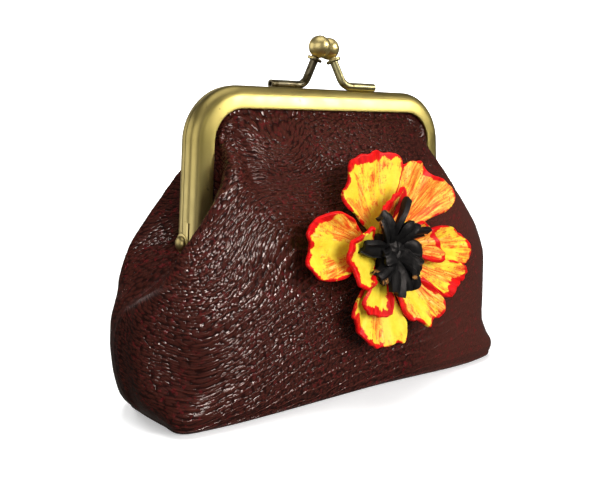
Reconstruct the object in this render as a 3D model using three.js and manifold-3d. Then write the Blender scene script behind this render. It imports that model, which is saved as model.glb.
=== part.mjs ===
// A kiss lock coin purse: a soft leather pouch held in an arched brass frame of two hinged halves,
// which two crossed balls snap shut, with a clay flower glued to its front.
// Millimetres. +X runs along the frame to the right, -Y is the front and +Z is up. The origin is the
// middle of the base, on the surface that the purse stands on.
import * as THREE from "three";
import { mergeVertices } from "three/addons/utils/BufferGeometryUtils.js";
import Module from "manifold-3d";

const wasm = await Module();
wasm.setup();

// Clearance between pieces that touch on the real purse.
const GAP = 0.3;

// The arch of the frame, measured at its outer edge, and where its channels end at the hinges.
const ARCH = {
  topZ: 108.8,
  hingeZ: 56.6,
  halfWidthAtTop: 57.6,
  halfWidthAtHinge: 61,
  cornerRadius: 19.9,
  cornerSteps: 7,
  endZ: 55.4,
};

// Section of one frame half, as a U-shaped channel that opens towards the middle of the arch.
// offset: inwards from the outer edge. depth: away from the plane where the two halves meet.
const CHANNEL_SECTION = [
  { offset: 0.2, depth: 0.2 },
  { offset: 8.2, depth: 0.2 },
  { offset: 8.2, depth: 1.3 },
  { offset: 3.2, depth: 1.6 },
  { offset: 3.2, depth: 4.3 },
  { offset: 8.2, depth: 4.5 },
  { offset: 8.2, depth: 5.6 },
  { offset: 5.0, depth: 5.4 },
  { offset: 2.4, depth: 4.6 },
  { offset: 0.8, depth: 3.2 },
  { offset: 0.2, depth: 1.8 },
];

// Hinge ears: flat plates at the ends of each half, the front pair outside the back pair.
const EAR = { thickness: 1, radius: 3.4, holeRadius: 1.35, strapDepth: 0.4, strapTop: 10, curveSteps: 8 };
const FRONT_EAR_INSET = 0.2;
const BACK_EAR_INSET = FRONT_EAR_INSET + EAR.thickness + GAP;

// Each half is cut away round the other half's ear and the rivet.
const HINGE_ROOM = { besideEar: 0.05, outerInset: -1, innerInset: 4.2, sides: 16 };

const RIVET = {
  shaftRadius: 1,
  headRadius: 2.2,
  headHeight: 1.4,
  footRadius: 1.8,
  footHeight: 0.7,
  domeSteps: 4,
  sides: 12,
};

// Kiss lock: each half carries a rod that runs along the frame, bends up and ends in a ball.
const CLASP = {
  rodRadius: 1.4,
  rodSides: 10,
  rodSteps: 14,
  footEndX: 22.8,
  bendX: 7.6,
  footDepth: 2.3,
  footZ: 110.6,
  bendRadius: 4.5,
  ballRadius: 3.85,
  ballX: 3.75,
  ballPastMiddle: 1.5,
  ballZ: 123.7,
  ballSides: 16,
  ballRings: 10,
  collarRadius: 2.6,
  collarThickness: 0.9,
  collarBelowBall: 4.7,
  collarSides: 14,
};

// Leather of the pouch. In the channel its outer face lies at channelDepth.
const LEATHER = { thickness: 1.5, channelDepth: 3.95, channelOffset: 3.9, seamDepth: 0.15 };

// The leather leaves the channel at the lip and turns forward round it at the neck.
const LIP = { offset: 8.8, depth: 3.95 };
const NECK = { offset: 9.9, depth: 6.1 };

// Level sections through the right half of the front panel, from the base up. x and y are distances
// from the middle of the purse. front: the middle of the face. corner: where the face turns to the
// side. lobe: the fullest point of the side fold. neck and seam: the side wall, down to where it meets
// the other panel. Rows without a neck are held in the frame.
const PANEL_ROWS = [
  [0, 23, 62, 22.3, 73.4, 19.6, 75.2, 10.5, 75.6, LEATHER.seamDepth],
  [2, 24.4, 64, 23.8, 76.2, 21, 78, 11.5, 78.5, LEATHER.seamDepth],
  [6, 25, 64, 24.4, 75.8, 20, 79.6, 11.2, 80.9, LEATHER.seamDepth],
  [10, 25.4, 63, 24.5, 74.4, 18.8, 80.6, 10.5, 82.3, LEATHER.seamDepth],
  [17, 25.8, 62, 24.4, 73.2, 17, 82, 9.8, 84.2, LEATHER.seamDepth],
  [25, 26, 62, 24.4, 74.6, 16.3, 82.6, 9.5, 84.8, LEATHER.seamDepth],
  [32, 26, 62, 24.3, 75.8, 15.6, 82.4, 9.2, 83.6, LEATHER.seamDepth],
  [38, 25.7, 62, 24, 77.2, 14.2, 81, 8, 80, LEATHER.seamDepth],
  [43, 25.3, 61.5, 23.5, 76.4, 13.8, 76, 6, 72.5, LEATHER.seamDepth],
  [47.5, 24.8, 60.5, 23, 74.5, 14, 70.4, 6, 65, LEATHER.seamDepth],
  [51, 24.1, 59.3, 22.5, 72.6, 14.2, 64.5, 7.4, 58.2, 2.9],
  [54.6, 23.5, 58, 22, 70.4, 14.3],
  [61.5, 22, 53.5, 20.8, 64.7, 14.6],
  [67, 20.7, 50, 19.7, 60.2, 14.5],
  [74, 18, 45, 17, 55.6, 13.6],
  [82, 14.4, 40, 13.6, 51.4, 11.2],
  [90, 10, 36, 9.4, 46, 7.6],
  [96, 6.4, 31, 6.2, 40, 5.6],
  [100, 4.1, 25, 4.1, 33, 4],
  [104.5, 3.95, 24, 3.95, 31, 3.95],
].map(([z, front, cornerX, cornerY, lobeX, lobeY, neckX, neckY, seamX, seamY]) => {
  return { z, front, cornerX, cornerY, lobeX, lobeY, neckX, neckY, seamX, seamY };
});

// Where the side wall turns in to its seam, as shares of the way from the seam to the neck.
const SEAM_TURN = { out: 0.3, deep: 0.45 };

// The back is fuller than the front: its side folds reach this much further between two heights, and
// its lower corners stand in by cornerIn at the base, up to cornerZ.
const BACK_SHAPE = { foldOut: 1.1, foldBack: 4, fromZ: 37, toZ: 99, cornerIn: 2.6, cornerZ: 14 };

// The front's lower right corner has slumped: shares of y and x that it moves forward and inwards at
// the base, from the middle of the face to fullX and fading out at toZ.
const SLUMP = { forward: 0.15, inwards: 0.03, fullX: 62, toZ: 34 };

// Points that a section takes between its stations, from the middle of the face to its edge.
const SECTION_STEPS = [4, 3, 3, 1, 1];

// The base is flat. The front panel's share of it has a tongue that the back panel's share leaves room for.
const BASE_TONGUE = { halfWidth: 71, pastMiddle: 2 };

// The flower sits on the front, square to the leather there.
const FLOWER = { x: 4, z: 51.5, leatherY: -24.1, tilt: 8 };
const FLOWER_BASE = { radius: 6.4, thickness: 2.3, sides: 16 };

// Petals fan out from the middle. angle: direction, from +X towards up. spread: half of the angle that
// a petal covers. reach: from the middle to the tip. skew: share by which the clockwise side is longer.
// root and tip: heights above the leather. cup: how far the sides rise. waves and ruffle: number and
// height of the folds along the rim.
const OUTER_PETALS = [
  { angle: 107, spread: 29, reach: 35.4, skew: 0.02, root: 3, tip: 7, cup: 1.5, waves: 3, ruffle: 0.8 },
  { angle: 46, spread: 26.5, reach: 37, skew: 0.08, root: 3, tip: 6.5, cup: 1.5, waves: 3, ruffle: 0.8 },
  { angle: 1.5, spread: 13, reach: 41.2, skew: 0.14, root: 3, tip: 6, cup: 0.8, waves: 2, ruffle: 0.6 },
  { angle: -27, spread: 12, reach: 39.6, skew: -0.08, root: 3, tip: 7, cup: 0.8, waves: 2, ruffle: 0.6 },
  { angle: -59, spread: 16.5, reach: 34.2, skew: -0.1, root: 3, tip: 7.5, cup: 1, waves: 2, ruffle: 0.6 },
  { angle: -109, spread: 30, reach: 34.4, skew: -0.02, root: 3, tip: 5.5, cup: 1.5, waves: 3, ruffle: 0.8 },
  { angle: 173.5, spread: 25.5, reach: 38, skew: 0, root: 3, tip: 8, cup: 2, waves: 3, ruffle: 0.8 },
];
const INNER_PETALS = [
  { angle: 186, spread: 31, reach: 26, skew: -0.04, root: 4.9, tip: 12.5, cup: 2, waves: 3, ruffle: 0.5 },
  { angle: -117, spread: 20, reach: 25.4, skew: -0.04, root: 4.9, tip: 9.5, cup: 1, waves: 2, ruffle: 0.4 },
  { angle: 2, spread: 26, reach: 21.8, skew: 0.04, root: 4.9, tip: 10, cup: 1.2, waves: 2, ruffle: 0.4 },
  { angle: 94, spread: 25, reach: 20, skew: 0.12, root: 4.9, tip: 9.5, cup: 1, waves: 2, ruffle: 0.4 },
];
const PETAL = {
  thickness: 1.4,
  rootRadius: 5.5,
  acrossSteps: 10,
  alongSteps: 5,
  shoulderDrop: 0.22,
  shoulderPower: 5,
  liftPower: 1.3,
};

// The middle of the flower: a hub with blunt lobes that curl out over the inner petals.
const HUB = { radius: 5, bottom: 3, top: 9.5, sides: 16 };
const LOBES = [
  { angle: 76, reach: 17, lift: 14, width: 2.4 },
  { angle: 125, reach: 14.5, lift: 13.5, width: 2.8 },
  { angle: 22, reach: 13, lift: 12.8, width: 2.6 },
  { angle: 177, reach: 17, lift: 13, width: 2.3 },
  { angle: 219, reach: 14, lift: 13, width: 2.6 },
  { angle: 259, reach: 15.5, lift: 13.2, width: 3 },
  { angle: 288, reach: 14, lift: 13, width: 2.8 },
  { angle: 333, reach: 10, lift: 12.5, width: 2.8 },
];
const LOBE_ROOT = { radius: 1, lift: 8.5 };
const LOBE_MESH = { sides: 9, rings: 6 };

const brass = () => new THREE.MeshStandardMaterial({ color: 0xa88d4e, roughness: 0.32, metalness: 1 });
const leather = () => new THREE.MeshStandardMaterial({ color: 0x45191a, roughness: 0.42, metalness: 0 });
const yellowClay = () => new THREE.MeshStandardMaterial({ color: 0xf5c528, roughness: 0.45, metalness: 0 });
const blackClay = () => new THREE.MeshStandardMaterial({ color: 0x141213, roughness: 0.7, metalness: 0 });

const { lerp, clamp, smoothstep, degToRad } = THREE.MathUtils;
const QUARTER_TURN = Math.PI / 2;
const X_AXIS = new THREE.Vector3(1, 0, 0);
const Y_AXIS = new THREE.Vector3(0, 1, 0);
const Z_AXIS = new THREE.Vector3(0, 0, 1);
const WELD = 1e-4;

function geometryFrom(points, triangles) {
  const geometry = new THREE.BufferGeometry().setFromPoints(points);
  geometry.setIndex(triangles);
  return geometry;
}

// A closed geometry as a solid that can be joined and cut.
function solidOf(geometry) {
  const bare = new THREE.BufferGeometry();
  bare.setAttribute("position", geometry.getAttribute("position"));
  bare.setIndex(geometry.index);
  const merged = mergeVertices(bare, WELD);
  return new wasm.Manifold(
    new wasm.Mesh({
      numProp: 3,
      vertProperties: new Float32Array(merged.getAttribute("position").array),
      triVerts: new Uint32Array(merged.index.array),
    }),
  );
}

function geometryOf(solid) {
  const mesh = solid.getMesh();
  const geometry = new THREE.BufferGeometry();
  geometry.setAttribute("position", new THREE.BufferAttribute(mesh.vertProperties, 3));
  geometry.setIndex(new THREE.BufferAttribute(mesh.triVerts, 1));
  return geometry;
}

function union(geometries) {
  return geometryOf(geometries.map(solidOf).reduce((whole, piece) => whole.add(piece)));
}

function cutAway(geometry, rooms) {
  return geometryOf(rooms.map(solidOf).reduce((whole, room) => whole.subtract(room), solidOf(geometry)));
}

// A closed solid through rings with the same number of points, capped by the section's own triangles.
function loft(rings, section) {
  const count = section.length;
  const triangles = [];
  rings.slice(1).forEach((_, ring) => {
    for (let k = 0; k < count; k++) {
      const a = ring * count + k;
      const b = ring * count + ((k + 1) % count);
      triangles.push(a, b, b + count, a, b + count, a + count);
    }
  });
  const end = (rings.length - 1) * count;
  for (const [a, b, c] of THREE.ShapeUtils.triangulateShape(section, [])) {
    triangles.push(a, c, b, end + a, end + b, end + c);
  }
  return geometryFrom(rings.flat(), triangles);
}

// A closed wall between two grids with the same rows and columns; the outer one faces out.
function wall(outer, inner) {
  const rows = outer.length;
  const columns = outer[0].length;
  const innerStart = rows * columns;
  const triangles = [];
  const quad = (a, b, c, d) => triangles.push(a, b, c, a, c, d);
  for (let i = 0; i < rows - 1; i++) {
    for (let j = 0; j < columns - 1; j++) {
      const corner = i * columns + j;
      const corners = [corner, corner + 1, corner + columns + 1, corner + columns];
      quad(...corners);
      quad(...corners.map((k) => k + innerStart).reverse());
    }
  }
  const rim = [];
  for (let j = 0; j < columns - 1; j++) rim.push(j);
  for (let i = 0; i < rows - 1; i++) rim.push(i * columns + columns - 1);
  for (let j = columns - 1; j > 0; j--) rim.push((rows - 1) * columns + j);
  for (let i = rows - 1; i > 0; i--) rim.push(i * columns);
  rim.forEach((a, k) => {
    const b = rim[(k + 1) % rim.length];
    quad(b, a, a + innerStart, b + innerStart);
  });
  return geometryFrom([...outer.flat(), ...inner.flat()], triangles);
}

// The grid moved by a distance along its normals, against the side that faces out.
function inset(grid, distance) {
  const at = (i, j) => grid[clamp(i, 0, grid.length - 1)][clamp(j, 0, grid[0].length - 1)];
  return grid.map((row, i) =>
    row.map((point, j) => {
      const along = at(i, j + 1).clone().sub(at(i, j - 1));
      const up = at(i + 1, j).clone().sub(at(i - 1, j));
      return point.clone().addScaledVector(along.cross(up).normalize(), -distance);
    }),
  );
}

// The arch's outline in the XZ plane: straight sides that lean in, and round corners under a flat top.
const sideSlope = (ARCH.halfWidthAtHinge - ARCH.halfWidthAtTop) / (ARCH.topZ - ARCH.hingeZ);
const sideLean = Math.atan(sideSlope);
const arcZ = ARCH.topZ - ARCH.cornerRadius;
const sideX = (z) => ARCH.halfWidthAtHinge - sideSlope * (z - ARCH.hingeZ);
const arcX = sideX(arcZ) - ARCH.cornerRadius / Math.cos(sideLean);

// Half of the arch's width at a height, inside the outer edge by an offset.
function archHalfWidth(offset, z) {
  const radius = ARCH.cornerRadius - offset;
  const rise = z - arcZ;
  if (rise < radius * Math.sin(sideLean)) return sideX(z) - offset / Math.cos(sideLean);
  return arcX + Math.sqrt(Math.max(0, radius * radius - rise * rise));
}

// Stations from the right end of the arch to the left one; turn is the direction that faces outwards.
function archStations() {
  const right = [{ x: sideX(ARCH.endZ), z: ARCH.endZ, turn: sideLean }];
  for (let k = 0; k <= ARCH.cornerSteps; k++) {
    const turn = lerp(sideLean, QUARTER_TURN, k / ARCH.cornerSteps);
    const x = arcX + ARCH.cornerRadius * Math.cos(turn);
    const z = arcZ + ARCH.cornerRadius * Math.sin(turn);
    right.push({ x, z, turn });
  }
  const left = right.map(({ x, z, turn }) => ({ x: -x, z, turn: Math.PI - turn }));
  return [...right, ...left.reverse()];
}

// A flat plate that hangs from the front half's end and takes the rivet, placed by its left face.
function ear(startX) {
  const outline = new THREE.Shape();
  const strapFrom = -EAR.strapDepth;
  const meets = Math.acos(strapFrom / EAR.radius);
  outline.moveTo(strapFrom, ARCH.hingeZ + EAR.strapTop);
  outline.lineTo(-EAR.radius, ARCH.hingeZ + EAR.strapTop);
  outline.lineTo(-EAR.radius, ARCH.hingeZ);
  outline.absarc(0, ARCH.hingeZ, EAR.radius, Math.PI, 2 * Math.PI + meets, false);
  const options = { depth: EAR.thickness, bevelEnabled: false, curveSegments: EAR.curveSteps };
  const plate = new THREE.ExtrudeGeometry(outline, options);
  plate.applyMatrix4(new THREE.Matrix4().makeBasis(Y_AXIS, Z_AXIS, X_AXIS));
  return plate.translate(startX, 0, 0);
}

// Round room at both hinges between two insets from the arch's outer edge.
function hingeRooms(radius, fromInset, toInset) {
  const middle = ARCH.halfWidthAtHinge - (fromInset + toInset) / 2;
  return [-middle, middle].map((x) => {
    const room = new THREE.CylinderGeometry(radius, radius, toInset - fromInset, HINGE_ROOM.sides);
    return room.rotateZ(QUARTER_TURN).translate(x, 0, ARCH.hingeZ);
  });
}

// The front half of the frame, with its ears at an inset from the outer edge at the hinge.
function frameHalf(earInset) {
  const section = CHANNEL_SECTION.map(({ offset, depth }) => new THREE.Vector2(offset, depth));
  const rings = archStations().map(({ x, z, turn }) =>
    CHANNEL_SECTION.map(({ offset, depth }) => {
      return new THREE.Vector3(x - offset * Math.cos(turn), -depth, z - offset * Math.sin(turn));
    }),
  );
  const earOuterX = ARCH.halfWidthAtHinge - earInset;
  const half = union([loft(rings, section), ear(-earOuterX), ear(earOuterX - EAR.thickness)]);
  const { besideEar, outerInset, innerInset } = HINGE_ROOM;
  const outside = hingeRooms(EAR.radius + GAP, outerInset, earInset - besideEar);
  const inside = hingeRooms(EAR.radius + GAP, earInset + EAR.thickness + besideEar, innerInset);
  const holes = hingeRooms(EAR.holeRadius, outerInset, innerInset);
  return cutAway(half, [...outside, ...inside, ...holes]);
}

// A rivet along +X, from its foot inside the ears to its domed head outside them.
function rivet() {
  const innerFace = ARCH.halfWidthAtHinge - BACK_EAR_INSET - EAR.thickness - GAP;
  const outerFace = ARCH.halfWidthAtHinge - FRONT_EAR_INSET + GAP;
  const profile = [
    new THREE.Vector2(0, innerFace - RIVET.footHeight),
    new THREE.Vector2(RIVET.footRadius, innerFace - RIVET.footHeight),
    new THREE.Vector2(RIVET.footRadius, innerFace),
    new THREE.Vector2(RIVET.shaftRadius, innerFace),
    new THREE.Vector2(RIVET.shaftRadius, outerFace),
  ];
  for (let k = 0; k < RIVET.domeSteps; k++) {
    const turn = (QUARTER_TURN * k) / RIVET.domeSteps;
    const height = RIVET.headHeight * Math.sin(turn);
    profile.push(new THREE.Vector2(RIVET.headRadius * Math.cos(turn), outerFace + height));
  }
  profile.push(new THREE.Vector2(0, outerFace + RIVET.headHeight));
  return new THREE.LatheGeometry(profile, RIVET.sides).rotateZ(-QUARTER_TURN);
}

// The front half's arm of the kiss lock: it lies on the frame to the right and crosses to the back.
function clasp() {
  const bend = new THREE.Vector3(CLASP.bendX, -CLASP.footDepth, CLASP.footZ);
  const footEnd = new THREE.Vector3(CLASP.footEndX, -CLASP.footDepth, CLASP.footZ);
  const ball = new THREE.Vector3(CLASP.ballX, CLASP.ballPastMiddle, CLASP.ballZ);
  const rise = ball.clone().sub(bend).normalize();
  const bendStart = bend.clone().addScaledVector(X_AXIS, CLASP.bendRadius);
  const bendEnd = bend.clone().addScaledVector(rise, CLASP.bendRadius);
  const path = new THREE.CurvePath();
  path.add(new THREE.LineCurve3(footEnd, bendStart));
  path.add(new THREE.QuadraticBezierCurve3(bendStart, bend, bendEnd));
  path.add(new THREE.LineCurve3(bendEnd, ball));
  const circle = new THREE.Shape().absarc(0, 0, CLASP.rodRadius, 0, 2 * Math.PI, false);
  const options = { steps: CLASP.rodSteps, extrudePath: path, curveSegments: CLASP.rodSides / 2 };
  const rod = new THREE.ExtrudeGeometry(circle, options);
  const sphere = new THREE.SphereGeometry(CLASP.ballRadius, CLASP.ballSides, CLASP.ballRings);
  sphere.translate(ball.x, ball.y, ball.z);
  const { collarRadius, collarThickness, collarSides } = CLASP;
  const collar = new THREE.CylinderGeometry(collarRadius, collarRadius, collarThickness, collarSides);
  collar.applyQuaternion(new THREE.Quaternion().setFromUnitVectors(Y_AXIS, rise));
  const seat = ball.clone().addScaledVector(rise, -CLASP.collarBelowBall);
  collar.translate(seat.x, seat.y, seat.z);
  return union([rod, sphere, collar]);
}

// Half of a level section of the front panel, from the middle of the face to its edge.
function sectionStations({ z, front, cornerX, cornerY, lobeX, lobeY, neckX, neckY, seamX, seamY }) {
  const face = [
    { x: 0, y: front },
    { x: cornerX, y: cornerY },
    { x: lobeX, y: lobeY },
  ];
  if (neckX === undefined) {
    const lipX = archHalfWidth(LIP.offset, z);
    const turnX = Math.min(archHalfWidth(NECK.offset, z), lipX - NECK.offset + LIP.offset);
    return [
      ...face,
      { x: turnX, y: Math.min(NECK.depth, lobeY) },
      { x: lipX, y: LIP.depth },
      { x: archHalfWidth(LEATHER.channelOffset, z), y: LEATHER.channelDepth },
    ];
  }
  const nearSeam = { x: lerp(seamX, neckX, SEAM_TURN.out), y: lerp(seamY, neckY, SEAM_TURN.deep) };
  return [...face, { x: neckX, y: neckY }, nearSeam, { x: seamX, y: seamY }];
}

// A level section of the front panel from its left edge to its right one, as a smooth curve's points.
function panelSection(row) {
  const half = sectionStations(row);
  const stations = [...half.slice(1).map(({ x, y }) => ({ x: -x, y })).reverse(), ...half];
  const curve = new THREE.CatmullRomCurve3(stations.map(({ x, y }) => new THREE.Vector3(x, -y, row.z)));
  const steps = [...SECTION_STEPS.slice().reverse(), ...SECTION_STEPS];
  const points = [curve.getPoint(0)];
  steps.forEach((count, span) => {
    for (let k = 1; k <= count; k++) points.push(curve.getPoint((span + k / count) / steps.length));
  });
  return points;
}

// A section of the front panel with its right side slumped.
function slumped(points) {
  return points.map(({ x, y, z }) => {
    const share = smoothstep(x, 0, SLUMP.fullX) * (1 - clamp(z / SLUMP.toZ, 0, 1));
    return new THREE.Vector3(x * (1 - SLUMP.inwards * share), y * (1 + SLUMP.forward * share), z);
  });
}

// A row of the front panel as the back panel has it.
function fullerRow(row) {
  const { foldOut, foldBack, fromZ, toZ, cornerIn, cornerZ } = BACK_SHAPE;
  const full = Math.sin(Math.PI * clamp((row.z - fromZ) / (toZ - fromZ), 0, 1));
  const inwards = cornerIn * (1 - clamp(row.z / cornerZ, 0, 1));
  const lobeX = row.lobeX + foldOut * full - inwards;
  const lobeY = row.lobeY + foldBack * full - inwards;
  return { ...row, lobeX, lobeY };
}

// The front panel, or the back one seen as if it were the front, from the sections of its outer face:
// its wall and its share of the base, which reaches to baseY inside the tongue's width.
function panel(outer, tongueHalfWidth, baseY) {
  const inner = inset(outer, LEATHER.thickness);
  inner[0].forEach((point) => point.setZ(0));
  inner.flat().forEach((point) => point.setY(Math.min(point.y, -LEATHER.seamDepth)));
  const outline = new THREE.Shape(outer[0].map(({ x, y }) => new THREE.Vector2(x, y)));
  outline.lineTo(tongueHalfWidth, -LEATHER.seamDepth);
  outline.lineTo(tongueHalfWidth, baseY);
  outline.lineTo(-tongueHalfWidth, baseY);
  outline.lineTo(-tongueHalfWidth, -LEATHER.seamDepth);
  const base = new THREE.ExtrudeGeometry(outline, { depth: LEATHER.thickness, bevelEnabled: false });
  return union([wall(outer, inner), base]);
}

// A petal in the flower's own frame, where x is right, y up and z out from the leather.
function petal({ angle, spread, reach, skew, root, tip, cup, waves, ruffle }) {
  const top = [];
  for (let i = 0; i <= PETAL.alongSteps; i++) {
    const along = i / PETAL.alongSteps;
    const row = [];
    for (let j = 0; j <= PETAL.acrossSteps; j++) {
      const across = (2 * j) / PETAL.acrossSteps - 1;
      const shoulder = 1 - PETAL.shoulderDrop * Math.abs(across) ** PETAL.shoulderPower;
      const radius = lerp(PETAL.rootRadius, reach * shoulder * (1 + skew * across), along);
      const turn = degToRad(angle - spread * across);
      const fold = ruffle * Math.sin(waves * Math.PI * across) * along ** 2;
      const lift = lerp(root, tip, along ** PETAL.liftPower) + cup * across ** 2 * along + fold;
      row.push(new THREE.Vector3(radius * Math.cos(turn), radius * Math.sin(turn), lift + PETAL.thickness));
    }
    top.push(row);
  }
  const under = top.map((row) => row.map((point) => point.clone().setZ(point.z - PETAL.thickness)));
  return wall(top, under);
}

// The hub and its lobes, joined into one solid.
function flowerCentre() {
  const hubHeight = HUB.top - HUB.bottom;
  const hub = new THREE.CylinderGeometry(HUB.radius, HUB.radius, hubHeight, HUB.sides).rotateX(QUARTER_TURN);
  hub.translate(0, 0, HUB.bottom + hubHeight / 2);
  const lobes = LOBES.map(({ angle, reach, lift, width }) => {
    const direction = X_AXIS.clone().applyAxisAngle(Z_AXIS, degToRad(angle));
    const inner = direction.clone().multiplyScalar(LOBE_ROOT.radius).setZ(LOBE_ROOT.lift);
    const outer = direction.clone().multiplyScalar(reach).setZ(lift);
    const axis = outer.clone().sub(inner);
    const lobe = new THREE.SphereGeometry(1, LOBE_MESH.sides, LOBE_MESH.rings);
    lobe.scale(width, axis.length() / 2, width);
    lobe.applyQuaternion(new THREE.Quaternion().setFromUnitVectors(Y_AXIS, axis.normalize()));
    const middle = inner.lerp(outer, 0.5);
    return lobe.translate(middle.x, middle.y, middle.z);
  });
  return union([hub, ...lobes]);
}

function add(group, name, geometry, material) {
  const mesh = new THREE.Mesh(geometry, material);
  mesh.name = name;
  group.add(mesh);
  return mesh;
}

// The flower's frame turns up to +Z and out to the front, leaning back with the leather.
function flower() {
  const group = new THREE.Group();
  group.position.set(FLOWER.x, FLOWER.leatherY, FLOWER.z);
  group.rotation.x = QUARTER_TURN - degToRad(FLOWER.tilt);
  const { radius, thickness, sides } = FLOWER_BASE;
  const base = new THREE.CylinderGeometry(radius, radius, thickness, sides);
  base.rotateX(QUARTER_TURN).translate(0, 0, GAP + thickness / 2);
  add(group, "flower_base", base, yellowClay());
  OUTER_PETALS.forEach((row, k) => add(group, `petal_${k + 1}`, petal(row), yellowClay()));
  INNER_PETALS.forEach((row, k) => add(group, `inner_petal_${k + 1}`, petal(row), yellowClay()));
  add(group, "flower_centre", flowerCentre(), blackClay());
  return group;
}

function purse() {
  const group = new THREE.Group();
  const { halfWidth, pastMiddle } = BASE_TONGUE;
  const frontSections = PANEL_ROWS.map(panelSection).map(slumped);
  add(group, "front_panel", panel(frontSections, halfWidth, pastMiddle), leather());
  const backSections = PANEL_ROWS.map(fullerRow).map(panelSection);
  add(group, "back_panel", panel(backSections, halfWidth + GAP, -pastMiddle - GAP), leather()).scale.y = -1;
  add(group, "front_frame", frameHalf(FRONT_EAR_INSET), brass());
  add(group, "back_frame", frameHalf(BACK_EAR_INSET), brass()).scale.y = -1;
  add(group, "right_rivet", rivet(), brass()).position.z = ARCH.hingeZ;
  const leftRivet = add(group, "left_rivet", rivet(), brass());
  leftRivet.position.z = ARCH.hingeZ;
  leftRivet.rotation.z = Math.PI;
  add(group, "front_clasp", clasp(), brass());
  add(group, "back_clasp", clasp(), brass()).rotation.z = Math.PI;
  group.add(flower());
  return group;
}

export default purse();
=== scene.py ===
# %% [markdown]
# # A kiss lock coin purse
# The real purse is soft leather glued in an arched brass frame, closed by two crossed balls, with a flower
# of painted clay on its front. A plain model of it already has every piece in its place. This lesson dresses
# that model piece by piece. Sizes are thought of in millimetres, as a maker would, and become metres in each
# mesh.

# %% Load the plain model
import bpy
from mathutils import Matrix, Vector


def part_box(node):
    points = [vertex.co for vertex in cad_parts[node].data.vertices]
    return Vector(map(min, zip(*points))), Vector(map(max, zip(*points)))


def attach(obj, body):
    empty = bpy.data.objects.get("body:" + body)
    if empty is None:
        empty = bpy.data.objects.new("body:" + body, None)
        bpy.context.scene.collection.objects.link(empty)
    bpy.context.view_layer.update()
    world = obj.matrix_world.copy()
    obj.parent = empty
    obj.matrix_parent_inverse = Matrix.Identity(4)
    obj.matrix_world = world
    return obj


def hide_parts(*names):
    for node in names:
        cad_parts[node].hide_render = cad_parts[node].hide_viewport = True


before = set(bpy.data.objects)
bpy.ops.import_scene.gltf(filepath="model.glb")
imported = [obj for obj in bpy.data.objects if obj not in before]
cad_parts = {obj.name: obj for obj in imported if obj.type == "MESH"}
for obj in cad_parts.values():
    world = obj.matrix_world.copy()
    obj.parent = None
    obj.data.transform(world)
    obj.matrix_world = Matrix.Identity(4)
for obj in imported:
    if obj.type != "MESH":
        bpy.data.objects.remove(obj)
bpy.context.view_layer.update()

# %% [markdown]
# ## Workbench
# Blender's operators act on what is selected, so a few helpers keep the selection tidy. One picks an object,
# one picks the parts of a mesh that pass a test, and one adds a modifier and applies it at once. The steps of
# edit mode that come back again and again have helpers too.

# %% Workbench helpers
import math
import bmesh
import bpy
import numpy as np
from mathutils import Matrix, Vector

MM = 0.001


def only(*pieces):
    bpy.ops.object.select_all(action="DESELECT")
    for piece in pieces:
        piece.select_set(True)
    bpy.context.view_layer.objects.active = pieces[0]


def named(name):
    piece = bpy.context.object
    piece.name = piece.data.name = name
    return piece


def pick(piece, kind, test):
    bpy.ops.mesh.select_mode(type=kind)
    bpy.ops.mesh.select_all(action="DESELECT")
    mesh = bmesh.from_edit_mesh(piece.data)
    for part in {"VERT": mesh.verts, "EDGE": mesh.edges, "FACE": mesh.faces}[kind]:
        part.select_set(bool(test(part)))
    mesh.select_flush_mode()
    bmesh.update_edit_mesh(piece.data)


def modify(piece, kind, **settings):
    only(piece)
    modifier = piece.modifiers.new(kind.title(), kind)
    for key, value in settings.items():
        setattr(modifier, key, value)
    bpy.ops.object.modifier_apply(modifier=modifier.name)


def extrude(way):
    bpy.ops.mesh.extrude_region_move(TRANSFORM_OT_translate={"value": way})


def close_mesh(inside=False):
    bpy.ops.mesh.select_all(action="SELECT")
    bpy.ops.mesh.normals_make_consistent(inside=inside)
    bpy.ops.object.mode_set(mode="OBJECT")


def count(piece):
    return f"{piece.name}: {sum(len(face.vertices) - 2 for face in piece.data.polygons)} triangles"


bpy.ops.object.select_all(action="DESELECT")

# %% [markdown]
# ## Camera
# The picture was taken from the front left, a little below the top of the frame, and slightly downwards. The
# camera stands where straight lines of the frame run to the same vanishing points as in the photograph.

# %% Camera
bpy.ops.object.camera_add(location=(-0.1834, -0.218, 0.092),
                          rotation=(math.radians(90 - 7.87), 0, math.radians(-38.3)))
camera = bpy.context.object
camera.data.sensor_width = 36
camera.data.lens = 45.6
camera.data.clip_start = 0.01
bpy.context.scene.camera = camera
print("camera at", tuple(round(v, 3) for v in camera.location))

# %% [markdown]
# ## Studio
# The purse stood in a white sweep: a floor that curves up into a wall, so that no edge shows behind it. A
# disc whose rim is extruded upwards in growing steps gives the same from every side. A photographer keeps
# white paper out of dark glossy leather with black cards. Here the sweep is kept out of reflections and of
# bounced light, which does the same. Its paper glows weakly under the purse and more outwards, so that it
# stays pale from every side.

# %% White sweep
SWEEP_RADIUS, SWEEP_CURVE, SWEEP_STEPS = 1.1, 0.55, 10
SWEEP_WALL, SWEEP_DROP = 0.9, 0.00015
bpy.ops.mesh.primitive_circle_add(vertices=96, radius=SWEEP_RADIUS, fill_type="NGON",
                                  location=(0, 0, -SWEEP_DROP))
sweep = named("white_sweep")
bpy.ops.object.transform_apply(location=True, rotation=True, scale=True)
bpy.ops.object.mode_set(mode="EDIT")
pick(sweep, "EDGE", lambda edge: edge.is_boundary)
radius, height = SWEEP_RADIUS, 0.0
for step in range(1, SWEEP_STEPS + 1):
    turn = math.pi / 2 * step / SWEEP_STEPS
    wider = SWEEP_RADIUS + SWEEP_CURVE * math.sin(turn)
    higher = SWEEP_CURVE * (1 - math.cos(turn))
    extrude((0, 0, higher - height))
    bpy.ops.transform.resize(value=(wider / radius, wider / radius, 1), center_override=(0, 0, 0))
    radius, height = wider, higher
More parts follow.
